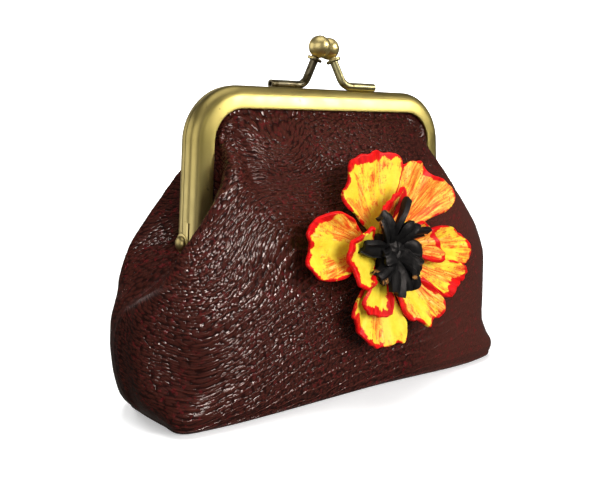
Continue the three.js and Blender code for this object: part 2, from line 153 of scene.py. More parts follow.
extrude((0, 0, SWEEP_WALL))
close_mesh(inside=True)
bpy.ops.object.shade_smooth_by_angle(angle=math.radians(30))
sweep.visible_glossy = sweep.visible_diffuse = False
print(count(sweep))


# %% [markdown]
# ## Material helper
# Every finish here is a small tree of nodes on a Principled shader. A helper makes the tree, adds nodes by
# type and links them, and numbers that stay the same all over go straight to the shader's own sockets.

# %% Material helper
class Finish:
    def __init__(self, name, **sockets):
        self.material = bpy.data.materials.new(name)
        self.material.use_nodes = True
        self.nodes = self.material.node_tree.nodes
        self.shader = self.nodes["Principled BSDF"]
        for key, value in sockets.items():
            self.shader.inputs[key.replace("_", " ")].default_value = value

    def node(self, kind, inputs=None, **settings):
        made = self.nodes.new("ShaderNode" + kind)
        for key, value in settings.items():
            setattr(made, key, value)
        for key, value in (inputs or {}).items():
            self.join(value, made.inputs[key])
        return made

    def join(self, value, socket):
        if isinstance(value, bpy.types.NodeSocket):
            self.material.node_tree.links.new(value, socket)
        else:
            socket.default_value = value

    def place(self):
        return self.node("TexCoord").outputs["Object"]

    def painted(self, name):
        return self.node("Attribute", attribute_name=name).outputs["Fac"]

    def noise(self, vector, scale, detail=3.0, roughness=0.55):
        inputs = {"Vector": vector, "Scale": scale, "Detail": detail, "Roughness": roughness}
        return self.node("TexNoise", inputs).outputs["Fac"]

    def ramp(self, value, *stops):
        made = self.node("ValToRGB", {"Fac": value})
        edge = made.color_ramp.elements
        edge[0].position, edge[0].color = stops[0][0], (*stops[0][1], 1)
        edge[1].position, edge[1].color = stops[-1][0], (*stops[-1][1], 1)
        for position, colour in stops[1:-1]:
            edge.new(position).color = (*colour, 1)
        return made.outputs["Color"]

    def levels(self, value, low, high, to_low=0.0, to_high=1.0):
        inputs = {"Value": value, "From Min": low, "From Max": high, "To Min": to_low, "To Max": to_high}
        return self.node("MapRange", inputs, clamp=True).outputs["Result"]

    def mix(self, share, first, second):
        made = self.node("Mix", data_type="RGBA")
        for index, value in ((0, share), (6, first), (7, second)):
            if isinstance(value, tuple):
                value = (*value, 1)
            self.join(value, made.inputs[index])
        return made.outputs[2]

    def plus(self, first, second):
        return self.node("Math", {0: first, 1: second}, operation="ADD").outputs[0]

    def times(self, first, second):
        return self.node("Math", {0: first, 1: second}, operation="MULTIPLY").outputs[0]

    def bump(self, height, strength, distance, under=None):
        inputs = {"Height": height, "Strength": strength, "Distance": distance}
        if under is not None:
            inputs["Normal"] = under
        return self.node("Bump", inputs).outputs["Normal"]

    def wear(self, **sockets):
        for key, value in sockets.items():
            self.join(value, self.shader.inputs[key.replace("_", " ")])
        return self.material


# %% Floor finish
paper = Finish("white_paper", Roughness=0.9, Emission_Color=(1, 1, 1, 1))
away = paper.node("VectorMath", {0: paper.place()}, operation="LENGTH").outputs["Value"]
tone = paper.noise(paper.place(), 40.0)
white_paper = paper.wear(Base_Color=paper.ramp(tone, (0.3, (0.86, 0.86, 0.86)), (0.7, (0.88, 0.88, 0.88))),
                         Emission_Strength=paper.levels(away, 0.2, 1.1, 0.33, 0.95))
sweep.data.materials.append(white_paper)
print("floor finish", white_paper.name)

# %% [markdown]
# ## Light
# Brass and glossy leather look like what they reflect, so there are two kinds of lamp. Large soft boxes give
# the plain light and stay out of reflections, so that no white square shows in the brass. Narrow strips make
# the glints on the grain, and wide panels round the purse are there only for the brass to mirror.

# %% Soft boxes
def soft_box(name, place, size, power, spread=180, aim=(0, 0, 0.06)):
    bpy.ops.object.light_add(type="AREA", location=place)
    lamp = named(name)
    lamp.data.shape = "RECTANGLE"
    lamp.data.size, lamp.data.size_y = size
    lamp.data.energy = power
    lamp.data.spread = math.radians(spread)
    way = Vector(aim) - Vector(place)
    lamp.rotation_euler = way.to_track_quat("-Z", "Y").to_euler()
    return lamp


key_box = soft_box("key_box", (0.14, -0.98, 0.3), (0.9, 0.7), 5.2, 90)
fill_box = soft_box("fill_box", (-0.75, -0.55, 0.3), (0.5, 0.5), 0.9, 90)
glint_box = soft_box("glint_box", (-0.05, -0.95, 0.42), (0.62, 0.08), 3.0, 80)
back_glint_box = soft_box("back_glint_box", (0.45, 0.85, 0.42), (0.5, 0.08), 1.6, 80)
bar_box = soft_box("bar_box", (0.66, -0.80, 0.46), (0.45, 0.3), 1.5, 80)
room_boxes = [soft_box("room_box_1", (-0.45, -0.28, 0.19), (0.5, 0.36), 0.9),
              soft_box("room_box_2", (0.06, -0.58, 0.19), (0.45, 0.36), 0.12),
              soft_box("room_box_3", (-0.42, 0.34, 0.19), (0.5, 0.36), 0.8),
              soft_box("room_box_4", (0, -0.2, 1.2), (1.2, 1.0), 5.0),
              soft_box("room_box_5", (0.2, 0.75, 0.3), (0.5, 0.4), 0.7)]
top_box = soft_box("top_box", (0.05, 0.15, 1.4), (0.8, 0.8), 3.8, 70)
wall_box = soft_box("wall_box", (0.3, 0.3, 0.9), (0.5, 0.5), 11.0, 110, aim=(1.3, 1.5, 0.4))
back_box = soft_box("back_box", (-0.15, 0.95, 0.5), (0.4, 0.4), 2.2, 90)
for lamp in (key_box, fill_box, top_box, wall_box, back_box):
    lamp.visible_glossy = False
for lamp in (glint_box, back_glint_box, bar_box, *room_boxes):
    lamp.visible_diffuse = lamp.visible_camera = False
for lamp in (glint_box, back_glint_box):
    lamp.data.color = (1, 0.87, 0.8)

studio = bpy.data.worlds.new("studio")
bpy.context.scene.world = studio
studio.use_nodes = True
air = studio.node_tree
air.nodes["Background"].inputs["Color"].default_value = (1.0, 0.94, 0.84, 1)
rays = air.nodes.new("ShaderNodeLightPath")
level = air.nodes.new("ShaderNodeMapRange")
level.inputs["To Min"].default_value, level.inputs["To Max"].default_value = 0.1, 0.07
air.links.new(rays.outputs["Is Glossy Ray"], level.inputs["Value"])
air.links.new(level.outputs["Result"], air.nodes["Background"].inputs["Strength"])
bpy.context.scene.view_settings.view_transform = "Standard"

# %% [markdown]
# ## Leather: the cut of a panel
# Each panel is a piece of leather that is narrow where the frame holds it and wide at the base, and it bulges
# into a soft lobe at each side. It could be sewn and inflated as cloth, but this purse has a known standing
# shape, so it is drawn as a stack of level sections. Each row of the table gives, at a height z, how far the
# section reaches forward and where its corner, its lobe, its neck and its seam lie.

# %% Rows of a leather panel
BODY_ROWS = np.array([  # z, front, corner x and y, lobe x and y
    (0, 21.4, 60.5, 20.6, 70.6, 17.6), (2, 23.6, 63, 22.8, 74.4, 19.8), (6, 25, 64, 24.4, 75.8, 20),
    (10, 25.4, 63, 24.5, 74.4, 18.8), (17, 25.8, 62, 24.4, 73.2, 17), (25, 26, 62, 24.4, 74.6, 16.3),
    (32, 26, 62, 24.3, 75.8, 15.6), (38, 25.7, 62, 24, 77.2, 14.2), (43, 25.3, 61.5, 23.5, 76.4, 13.8),
    (47.5, 24.8, 60.5, 23, 74.5, 14), (51, 24.1, 59.3, 22.5, 72.6, 14.2), (54.6, 23.5, 58, 22, 70.4, 14.3),
    (61.5, 22, 53.5, 20.8, 64.7, 14.6), (67, 20.7, 50, 19.7, 60, 14.8), (74, 18, 45, 17, 54.6, 14.2),
    (82, 14.4, 40, 13.6, 49.4, 12), (90, 10, 36, 9.4, 43.8, 8.4), (96, 6.4, 31, 6.2, 38.2, 6),
    (100, 4.1, 25, 4.1, 33, 4), (104.5, 3.95, 24, 3.95, 31, 3.95)])
SEAM_ROWS = np.array([  # z, neck x and y, seam x and y
    (0, 71.4, 10, 71.8, 0.02), (2, 75.4, 11.2, 75.9, 0.02), (6, 78.8, 11.2, 79.9, 0.02),
    (10, 80.5, 10.5, 82.1, 0.02), (17, 82, 9.8, 84.2, 0.02), (25, 82.6, 9.5, 84.8, 0.02),
    (32, 82.4, 9.2, 83.6, 0.02), (38, 81, 8, 80, 0.02), (43, 76, 6, 72.5, 0.02),
    (47.5, 70.4, 6, 65, 0.02), (51, 64.5, 7.4, 58.2, 0.8)])
HELD_FROM, LEATHER_TOP, LEATHER_THICK = 54.6, 104.5, 1.5
ARCH_TOP, HINGE_Z, ARCH_END = 108.8, 56.6, 55.4
HALF_WIDTH_TOP, HALF_WIDTH_HINGE, CORNER_RADIUS = 57.6, 61.0, 19.9
SIDE_SLOPE = (HALF_WIDTH_HINGE - HALF_WIDTH_TOP) / (ARCH_TOP - HINGE_Z)
SIDE_LEAN = math.atan(SIDE_SLOPE)
ARC_Z = ARCH_TOP - CORNER_RADIUS


def side_x(z):
    return HALF_WIDTH_HINGE - SIDE_SLOPE * (z - HINGE_Z)


ARC_X = side_x(ARC_Z) - CORNER_RADIUS / math.cos(SIDE_LEAN)


def arch_half_width(inwards, z):
    leg = side_x(z) - inwards / math.cos(SIDE_LEAN)
    bow = ARC_X + np.sqrt(np.maximum(0, (CORNER_RADIUS - inwards) ** 2 - (z - ARC_Z) ** 2))
    return np.where(z < ARC_Z, leg, bow)


print("arch corner centre, mm:", round(ARC_X, 2), ARC_Z)


# %% [markdown]
# Between the rows the outline has to run smoothly, without swinging past them. A cubic curve whose slope
# never overshoots does that. Across each row, another smooth curve passes through every station of the
# section, and its points are spread evenly.

# %% Smooth curves through the rows
def smooth_through(knots, values, at):
    gap = np.diff(knots)
    rise = np.diff(values) / gap
    slope = np.zeros(len(knots))
    same = rise[:-1] * rise[1:] > 0
    first, second = 2 * gap[1:] + gap[:-1], gap[1:] + 2 * gap[:-1]
    safe = np.where(same[:, None], np.stack([rise[:-1], rise[1:]], 1), 1.0)
    slope[1:-1] = np.where(same, (first + second) / (first / safe[:, 0] + second / safe[:, 1]), 0)
    slope[0], slope[-1] = rise[0], rise[-1]
    k = np.clip(np.searchsorted(knots, at, side="right") - 1, 0, len(gap) - 1)
    t = (at - knots[k]) / gap[k]
    a, b = values[k] + 0 * t, values[k + 1] + 0 * t
    return (a * (1 + 2 * t) * (1 - t) ** 2 + b * t * t * (3 - 2 * t)
            + gap[k] * (slope[k] * t * (1 - t) ** 2 - slope[k + 1] * t * t * (1 - t)))


def smooth_across(stations, columns):
    first = 2 * stations[:, :1] - stations[:, 1:2]
    last = 2 * stations[:, -1:] - stations[:, -2:-1]
    p = np.concatenate([first, stations, last], axis=1)
    d = np.maximum(np.linalg.norm(np.diff(p, axis=1), axis=2) ** 0.5, 1e-4)[:, :, None]
    p0, p1, p2, p3 = p[:, :-3], p[:, 1:-2], p[:, 2:-1], p[:, 3:]
    d0, d1, d2 = d[:, :-2], d[:, 1:-1], d[:, 2:]
    m1 = ((p1 - p0) / d0 - (p2 - p0) / (d0 + d1) + (p2 - p1) / d1) * d1
    m2 = ((p2 - p1) / d1 - (p3 - p1) / (d1 + d2) + (p3 - p2) / d2) * d1
    t = np.linspace(0, 1, 16, endpoint=False)[None, None, :, None]
    p1, p2, m1, m2 = (q[:, :, None, :] for q in (p1, p2, m1, m2))
    curve = (p1 * (1 + 2 * t) * (1 - t) ** 2 + p2 * t * t * (3 - 2 * t)
             + m1 * t * (1 - t) ** 2 - m2 * t * t * (1 - t)).reshape(len(stations), -1, 2)
    curve = np.concatenate([curve, stations[:, -1:]], axis=1)
    run = np.concatenate([np.zeros((len(curve), 1)),
                          np.cumsum(np.linalg.norm(np.diff(curve, axis=1), axis=2), axis=1)], axis=1)
    out = np.empty((len(stations), columns + 1, 2))
    for row in range(len(stations)):
        even = np.linspace(0, run[row, -1], columns + 1)
        out[row, :, 0] = np.interp(even, run[row], curve[row, :, 0])
        out[row, :, 1] = np.interp(even, run[row], curve[row, :, 1])
    return out, run[:, -1]


def smooth_step(value, low, high):
    t = np.clip((value - low) / (high - low), 0, 1)
    return t * t * (3 - 2 * t)


HALF_WAY_UP = np.array([52.0])
half_way = smooth_through(BODY_ROWS[:, 0], BODY_ROWS[:, 1], HALF_WAY_UP)
print("front reach half way up, mm:", half_way.round(2))

# %% [markdown]
# The two panels are not twins. The front one slumps forward at its lower right, where the leather has been
# folded, and the back one is fuller beside the frame. Both fold under at the bottom and meet below the purse.

# %% Lattice of a panel
NECK_IN, NECK_DEEP, LIP_IN, CHANNEL_IN, CHANNEL_DEEP = 9.9, 6.1, 8.8, 3.9, 3.95
COLUMNS, WALL_ROWS, BASE_ROWS, FINER = 112, 64, 4, 3
ROUNDING, BASE_DEEP, HALF_GAP = 2, 23, 0.02


def section_rows(z, back):
    front, corner_x, corner_y, lobe_x, lobe_y = (
        smooth_through(BODY_ROWS[:, 0], BODY_ROWS[:, k], z) for k in range(1, 6))
    if back:
        full = np.sin(np.pi * np.clip((z - 37) / 62, 0, 1))
        inwards = 2.6 * (1 - np.clip(z / 14, 0, 1))
        lobe_x, lobe_y = lobe_x + 1.1 * full - inwards, lobe_y + 4 * full - inwards
    lip_x = arch_half_width(LIP_IN, z)
    held = [np.minimum(arch_half_width(NECK_IN, z), lip_x - 1.1), np.minimum(NECK_DEEP, lobe_y),
            lip_x, CHANNEL_DEEP + 0 * z, arch_half_width(CHANNEL_IN, z), CHANNEL_DEEP + 0 * z]
    knots = np.append(SEAM_ROWS[:, 0], HELD_FROM)
    lip_from = arch_half_width(LIP_IN, HELD_FROM)
    last = [float(arch_half_width(NECK_IN, HELD_FROM)), NECK_DEEP,
            float(arch_half_width(CHANNEL_IN, HELD_FROM)), CHANNEL_DEEP]
    neck_x, neck_y, seam_x, seam_y = (
        smooth_through(knots, np.append(SEAM_ROWS[:, k + 1], last[k]), z) for k in range(4))
    near_x, near_y = seam_x + 0.3 * (neck_x - seam_x), seam_y + 0.45 * (neck_y - seam_y)
    settle = smooth_step(z, 51, HELD_FROM)
    near_x, near_y = near_x + settle * (lip_from - near_x), near_y + settle * (CHANNEL_DEEP - near_y)
    sewn = [neck_x, neck_y, near_x, near_y, seam_x, seam_y]
    outer = [np.where(z >= HELD_FROM, h, s) for h, s in zip(held, sewn)]
    xs = np.stack([0 * z, corner_x, lobe_x, outer[0], outer[2], outer[4]], 1)
    ys = np.stack([front, corner_y, lobe_y, outer[1], outer[3], outer[5]], 1)
    xs = np.concatenate([-xs[:, :0:-1], xs], 1)
    ys = np.concatenate([ys[:, :0:-1], ys], 1)
    return np.stack([xs, ys], 2)


def panel_heights():
    z = np.linspace(0, LEATHER_TOP, 2000)
    reach = smooth_through(BODY_ROWS[:, 0], BODY_ROWS[:, 1], z)
    step = np.hypot(np.diff(z), np.diff(reach)) * (1 + 1.2 * smooth_step(z[1:], 95, 98.5))
    run = np.append(0, np.cumsum(step))
    return np.interp(np.linspace(0, run[-1], WALL_ROWS * FINER + 1), run, z)


def panel_lattice(back):
    z = panel_heights()
    low = np.minimum(z / ROUNDING, 1)
    rounded = np.where(z < ROUNDING, ROUNDING * np.sqrt(1 - (1 - low) ** 2), z)
    flat, length = smooth_across(section_rows(rounded, back), COLUMNS * FINER)
    x, y = flat[:, :, 0], flat[:, :, 1]
    if not back:
        share = smooth_step(x, 0, 62) * (1 - np.clip(z / 34, 0, 1))[:, None] * smooth_step(y, 0.5, 11)
        x, y = x * (1 - 0.03 * share), y * (1 + 0.15 * share)
    wall = np.stack([x, y if back else -y, np.repeat(z[:, None], x.shape[1], 1)], 2)
    to_seam = smooth_step(np.abs(wall[0, :, 0]), 64, 69)
    middle = (2.3 if back else 2.0) * (1 - to_seam) + (HALF_GAP if back else -HALF_GAP) * to_seam
    rows = BASE_ROWS * FINER
    share = (np.arange(rows) / rows)[:, None]
    base = np.repeat(wall[:1], rows, 0)
    base[:, :, 1] = middle + share * (wall[0, :, 1] - middle)
    spread = np.concatenate([np.full(rows, length[0]), length])[:, None]
    across = np.linspace(-0.5, 0.5, x.shape[1])[None, :] * spread
    reach = smooth_through(BODY_ROWS[:, 0], BODY_ROWS[:, 1], z)
    climb = np.append(0, np.cumsum(np.hypot(np.diff(z), np.diff(reach))))
    up = np.concatenate([-np.linspace(BASE_DEEP, BASE_DEEP / rows, rows), climb])
    return np.concatenate([base, wall], 0), across, np.repeat(up[:, None], x.shape[1], 1)


def outward(points, back):
    along, upwards = np.gradient(points, axis=1), np.gradient(points, axis=0)
    normal = np.cross(along, upwards)
    normal /= np.linalg.norm(normal, axis=2, keepdims=True) + 1e-9
    return -normal if back else normal


front_points, front_across, front_up = panel_lattice(False)
back_points, back_across, back_up = panel_lattice(True)
print("lattice", front_points.shape, "front normal", outward(front_points, False)[120, 168].round(2))


# %% [markdown]
# ## Leather: grain and creases
# Pebbled leather is a field of small domes with grooves between them, drawn out along the lines where the
# leather is creased. A jittered grid of cells gives the domes: the nearest and second nearest cell centres
# are equally far in a groove. The cells lie along a flow that bends as the creases on the real purse do.

# %% Noise and pebble cells
def chance(i, j, seed):
    value = np.sin(i * 127.1 + j * 311.7 + seed * 74.7) * 43758.5453
    return value - np.floor(value)


def soft_noise(x, y, seed):
    i, j = np.floor(x), np.floor(y)
    u, v = x - i, y - j
    u, v = u * u * (3 - 2 * u), v * v * (3 - 2 * v)
    low = chance(i, j, seed) * (1 - u) + chance(i + 1, j, seed) * u
    high = chance(i, j + 1, seed) * (1 - u) + chance(i + 1, j + 1, seed) * u
    return low * (1 - v) + high * v - 0.5


CELL_JITTER = 0.95


def pebble_cells(x, y, seed):
    i, j = np.floor(x), np.floor(y)
    near, next_near = np.full(x.shape, 9.0), np.full(x.shape, 9.0)
    for di in (-1, 0, 1):
        for dj in (-1, 0, 1):
            ci, cj = i + di, j + dj
            px = ci + 0.5 + CELL_JITTER * (chance(ci, cj, seed) - 0.5)
            py = cj + 0.5 + CELL_JITTER * (chance(ci, cj, seed + 1) - 0.5)
            away = np.hypot(x - px, y - py)
            next_near = np.minimum(next_near, np.maximum(near, away))
            near = np.minimum(near, away)
    return next_near - near


print("one pebble cell value", pebble_cells(np.array([0.3]), np.array([0.7]), 1).round(3))

# %% Flow of the creases
FLOW_LEAN = (  # across, and the rise of the creases there
    (-95, -80, -70, -62, -48, -36, -15, 30, 60, 85),
    (-0.6, -0.45, -0.05, 0.45, 0.58, 0.45, 0.26, 0.12, 0.02, -0.1))
FLOW_SHARE = ((-30, 0, 35, 65, 85, 115), (0.5, 0.55, 0.95, 1.0, 0.45, 0.3))  # up, share of that rise
FLOW_HILLS = ((-39, 65, 11, 11), (-29, 92, 9, -11))  # across, up, reach, how far the creases are pushed up


def crease_flow(across, up, mirror):
    a = -across if mirror else across
    order = np.linspace(-130, 130, 521)
    leans = smooth_through(*np.array(FLOW_LEAN), np.clip(order, -95, 85))
    drop = np.cumsum(leans) * (order[1] - order[0])
    drop = np.interp(a, order, drop) - np.interp(-40, order, drop)
    share = smooth_through(*np.array(FLOW_SHARE), np.clip(up, -30, 115))
    t = up - share * drop
    for middle, height, reach, raised in FLOW_HILLS:
        t = t - raised * np.exp(-((a - middle) ** 2 + (up - height) ** 2) / (2 * reach ** 2))
    return a + share * np.interp(a, order, leans) * 0.5 * (up - 45), t


front_flow = crease_flow(front_across, front_up, False)[1]
print("rows of creases from and to, mm:", [round(float(v), 1) for v in (front_flow.min(), front_flow.max())])


# %% [markdown]
# Larger than the grain are the folds: hills where the leather is pushed out, a valley below the frame, a
# groove and a ridge on the lobe, and pleats at the corners and hinges of the frame. Where the frame or a seam
# holds the leather, folds and grain fade out.

# %% Folds
HILLS = ((-39, 66, 9, 1.8), (-49, 77, 4.5, 0.7), (-72, 9, 4, 0.9))  # across, up, reach, height
CORNER_IN, HINGE_UP, HINGE_OUT = 7.6, 62, 2


def hill(distance, reach):
    return np.exp(-(distance / reach) ** 2)


def folds(points, across, up, mid, from_edge):
    x, z = points[:, :, 0], points[:, :, 2]
    height = np.zeros(x.shape)
    for at, level, reach, raised in HILLS:
        height = height + raised * np.exp(-((mid - at) ** 2 + (up - level) ** 2) / (2 * reach ** 2))
    valley = up - 80 - 0.12 * (mid + 42)
    height = height - 2.1 * hill(valley, 3.2) * hill(mid + 27, 19)
    lobe = smooth_step(up, 74, 82) * (1 - smooth_step(up, 94, 99))
    height = height - 1.6 * hill(mid + 42.5 - 0.1 * (90 - up), 2.6) * lobe
    height = height + 1.0 * hill(mid + 49 - 0.12 * (90 - up), 2.6) * lobe
    beside, above = np.abs(x) - ARC_X - CORNER_IN, z - ARC_Z - CORNER_IN
    pleats = np.cos(13 * np.arctan2(above, beside) + 1.5 * np.sin(x))
    height = height + 0.5 * pleats * hill(np.hypot(beside, above) - 5, 5)
    beside, above = from_edge + HINGE_OUT, up - HINGE_UP
    pleats = np.cos(11 * np.arctan2(above, beside) + 2 * soft_noise(across / 6, up / 6, 41))
    return height + 0.2 * pleats * hill(np.hypot(beside, above) - 11, 8)


def free_share(z, from_edge):
    in_frame = smooth_step(from_edge, 5.4, 9) * (1 - smooth_step(z, 97.0, 99.6))
    sewn = smooth_step(from_edge, 0.0, 1.6) * smooth_step(z, 0.2, 2.5)
    near_frame = smooth_step(z, 48, HELD_FROM)
    below = sewn * (1 - near_frame) + np.minimum(sewn, in_frame) * near_frame
    return np.where(z >= HELD_FROM, in_frame, below)


def edge_distance(across):
    return np.abs(across[:, -1:]) - np.abs(across)


front_folds = folds(front_points, front_across, front_up, front_across, edge_distance(front_across))
print("folds from and to, mm:", [round(float(v), 2) for v in (front_folds.min(), front_folds.max())])


# %% Raise the grain
ROW = 3.0


def leather_relief(points, across, up, back):
    z = points[:, :, 2]
    mid = -across if back else across
    from_edge = edge_distance(across)
    free = free_share(z, from_edge)
    along, over = crease_flow(across, up, back)
    along = along + 1.5 * soft_noise(across / 9, up / 9, 11)
    over = over + 1.6 * soft_noise(across / 10, up / 10, 13) + 0.35 * soft_noise(across / 3.5, up / 3.5, 14)
    cell = np.clip(pebble_cells(along / 4.4, over / 2.5, 7) / 0.5, 0, 1)
    cell = cell * (2 - cell)
    roll = soft_noise(along / 14, over / 5, 31) + 0.6 * soft_noise(across / 22, up / 18, 32)
    lively = (1 - 0.6 * smooth_step(mid, 0, 45)) * (1 - 0.75 * smooth_step(np.abs(across), 66, 82))
    phase = 2 * np.pi * over / ROW + 3.2 * soft_noise(along / 7, over / 5, 21)
    phase = phase + 1.2 * soft_noise(along / 2.5, over / 2.5, 22)
    crest = (0.5 + 0.5 * np.sin(phase)) ** 2 * (0.3 + 0.7 * cell)
    height = lively * (0.15 * (cell - 1) + 0.12 * crest) + 0.5 * roll * (0.4 + 0.6 * lively)
    height = height + folds(points, across, up, mid, from_edge)
    ledge = up - 46.7 - 0.5 * (mid + 78.6)
    lip = np.where(ledge < 0, np.exp(np.minimum(ledge, 0) / 5), 1 - smooth_step(ledge, 0, 2))
    height = height + 1.3 * lip * smooth_step(-mid, 73, 81)
    bead = hill(from_edge - 1.3, 0.7) * smooth_step(z, 2, 8) * (1 - smooth_step(z, 47, 51))
    wear = 0.5 * hill(z, 1.1) + 0.3 * hill(from_edge, 0.8) * (1 - smooth_step(z, 38, 52))
    # The pale line along the lip of the side ledge is a painted highlight, carried in the wear field.
    wear = wear + 0.6 * hill(ledge + 0.3, 0.6) * smooth_step(-mid, 76, 84)
    fields = {"along": along, "over": over, "phase": phase,
              "rows": lively * free * (1 - 0.7 * smooth_step(up, 80, 92)),
              "pebbles": 1.15 - 0.6 * smooth_step(across, 5, 45) + 0.4 * smooth_step(up, 72, 88),
              "wear": np.clip(wear, 0, 1)}
    return height * free + 0.5 * bead, fields


print("painted fields", list(leather_relief(front_points, front_across, front_up, False)[1]))


# %% [markdown]
# A panel starts as a flat grid. Its points are all moved onto the lattice at once, which is quicker than one
# by one, and a Solidify modifier then gives the leather its thickness. Two small helpers read and set the
# points, and a third paints a value on each. They serve the frame and the flower later.

# %% Points and paint
def mesh_points(piece):
    flat = np.empty(len(piece.data.vertices) * 3, np.float32)
    piece.data.vertices.foreach_get("co", flat)
    return flat.reshape(-1, 3)


def set_points(piece, points):
    piece.data.vertices.foreach_set("co", (points * MM).astype(np.float32).ravel())
    piece.data.update()


def paint(piece, label, values):
    layer = piece.data.attributes.new(label, "FLOAT", "POINT")
    layer.data.foreach_set("value", np.asarray(values, np.float32))


# %% Cut the panels
def lattice_index(place, lattice, back):
    rows, columns = lattice.shape[0] - 1, lattice.shape[1] - 1
    column = np.rint((place[:, 0] * (-1 if back else 1) + 1) / 2 * columns).astype(int)
    row = np.rint((place[:, 1] + 1) / 2 * rows).astype(int)
    return row, column


def leather_panel(name, points, back):
    bpy.ops.object.select_all(action="DESELECT")
    bpy.ops.mesh.primitive_grid_add(x_subdivisions=COLUMNS, y_subdivisions=WALL_ROWS + BASE_ROWS, size=2)
    panel = named(name)
    flat = mesh_points(panel)
    place = panel.data.attributes.new("place", "FLOAT_VECTOR", "POINT")
    place.data.foreach_set("vector", flat.ravel())
    set_points(panel, points[lattice_index(flat, points, back)])
    for slot in range(3):
        panel.data.materials.append(None)
    modify(panel, "SOLIDIFY", thickness=LEATHER_THICK * MM, offset=-1, use_even_offset=True,
           material_offset=1, material_offset_rim=2)
    return panel


front_leather = leather_panel("front_leather", front_points, False)
back_leather = leather_panel("back_leather", back_points, True)
print(count(front_leather), [round(v / MM, 1) for v in front_leather.dimensions])


# %% [markdown]
# The wall now has its thickness. Only its outside needs the fine grain, so the outer faces alone are
# subdivided, and each new point is moved to its place in the fine lattice and out along its normal by the
# relief. The inner wall gives way where a fold is deep. How the creases run, the shares of rows and pebbles,
# and the wear with a painted highlight on the lip of each side ledge are painted on the points, for the
# finish to read.

# %% Emboss the outside
DENT_FROM, INSIDE_FLOOR = 0.4, 0.3


def outside_points(mesh):
    outside = np.zeros(len(mesh.vertices), bool)
    for face in mesh.polygons:
        if face.material_index == 0:
            outside[list(face.vertices)] = True
    return outside


def emboss(panel, points, across, up, back):
    only(panel)
    bpy.ops.object.mode_set(mode="EDIT")
    pick(panel, "FACE", lambda face: face.material_index == 0)
    bpy.ops.mesh.subdivide(number_cuts=FINER - 1)
    bpy.ops.object.mode_set(mode="OBJECT")
    place = np.empty(len(panel.data.vertices) * 3, np.float32)
    panel.data.attributes["place"].data.foreach_get("vector", place)
    at = lattice_index(place.reshape(-1, 3), points, back)
    height, fields = leather_relief(points, across, up, back)
    out = outward(points, back)
    raised = points + out * height[:, :, None]
    raised[:, :, 2] = np.maximum(raised[:, :, 2], 0)
    dent = out * np.minimum(height + DENT_FROM, 0)[:, :, None]
    outside = outside_points(panel.data)
    moved = mesh_points(panel) / MM
    moved[outside] = raised[at][outside]
    inside = moved[~outside] + dent[at][~outside]
    side = 1 if back else -1
    standing = inside[:, 2] > ROUNDING
    inside[standing, 1] = side * np.maximum(side * inside[standing, 1], HALF_GAP)
    inside[:, 2] = np.maximum(inside[:, 2], INSIDE_FLOOR)
    moved[~outside] = inside
    set_points(panel, moved)
    for label, field in fields.items():
        paint(panel, label, field[at])
    panel.data.attributes.remove(panel.data.attributes["place"])
    bpy.ops.object.shade_smooth_by_angle(angle=math.radians(70))


emboss(front_leather, front_points, front_across, front_up, False)
emboss(back_leather, back_points, back_across, back_up, True)
print(count(front_leather), count(back_leather))

# %% [markdown]
# ## Leather: colour and gloss
# The hide is dyed dark brown with flecks of red. A painted shade darkens the grooves of its grain, so the
# tops look lighter; the tops are also polished. The base and the seams are rubbed grey, and a pale line on
# the lip of each side ledge is a painted highlight. A bump adds the finest rows and pebbles, which are too
# small for the mesh. To the right the leather is smoother, its grooves get less painted shade and its brown
# is lifted by a painted sheen. The inside is a plain suede, and the cut edge is raw.

# %% Grain in the finish
hide = Finish("burgundy_leather", Specular_IOR_Level=0.35)
spot = hide.place()
LEATHER_PAINTS = ("along", "over", "phase", "rows", "pebbles", "wear")
along, over, phase, row_share, pebble_share, wear = (hide.painted(name) for name in LEATHER_PAINTS)


def dome_cells(length, breadth):
    x, y = hide.times(along, 1 / length), hide.times(over, 1 / breadth)
    flow = hide.node("CombineXYZ", {"X": x, "Y": y}).outputs[0]
    cells = hide.node("TexVoronoi", {"Vector": flow, "Scale": 1.0, "Randomness": 0.9},
                      voronoi_dimensions="2D", feature="F1")
    far = cells.outputs["Distance"]
    return hide.levels(hide.times(far, far), 0.0, 0.5, 1.0, 0.0)


ridge = hide.levels(hide.node("Math", {0: phase}, operation="SINE").outputs[0], -1.0, 1.0)
crest = hide.node("Math", {0: ridge, 1: 9.0}, operation="POWER").outputs[0]
rows = hide.times(crest, hide.levels(dome_cells(4.0, 2.0), 0.0, 1.0, 0.08, 0.42))
pebbles = hide.times(dome_cells(1.6, 1.05), 0.22)
height = hide.plus(hide.times(rows, row_share), hide.times(pebbles, pebble_share))
print("grain of", len(hide.nodes), "nodes")

# %% Leather finish
cloud = hide.noise(spot, 55.0, 4.0)
fine = hide.noise(spot, 1200.0, 3.0)
fleck = hide.noise(spot, 560.0, 3.0, 0.6)
# Painted shade: where the grain's height is low, in its grooves, the brown is made darker.
groove_shaded_brown = hide.ramp(height, (0.02, (0.011, 0.0023, 0.0017)), (0.2, (0.033, 0.0077, 0.0053)),
                    (0.45, (0.054, 0.0132, 0.0092)))
# To the right, where the pebble share is low, the brown is lifted to a paler tone: partly smoother leather,
# partly a painted sheen.
brown = hide.mix(hide.levels(pebble_share, 0.55, 1.0, 0.75, 0.0), groove_shaded_brown, (0.058, 0.0155, 0.0112))
red = hide.times(hide.levels(fleck, 0.56, 0.68), hide.levels(cloud, 0.35, 0.6, 0.12, 0.6))
base = hide.mix(red, brown, (0.12, 0.007, 0.01))
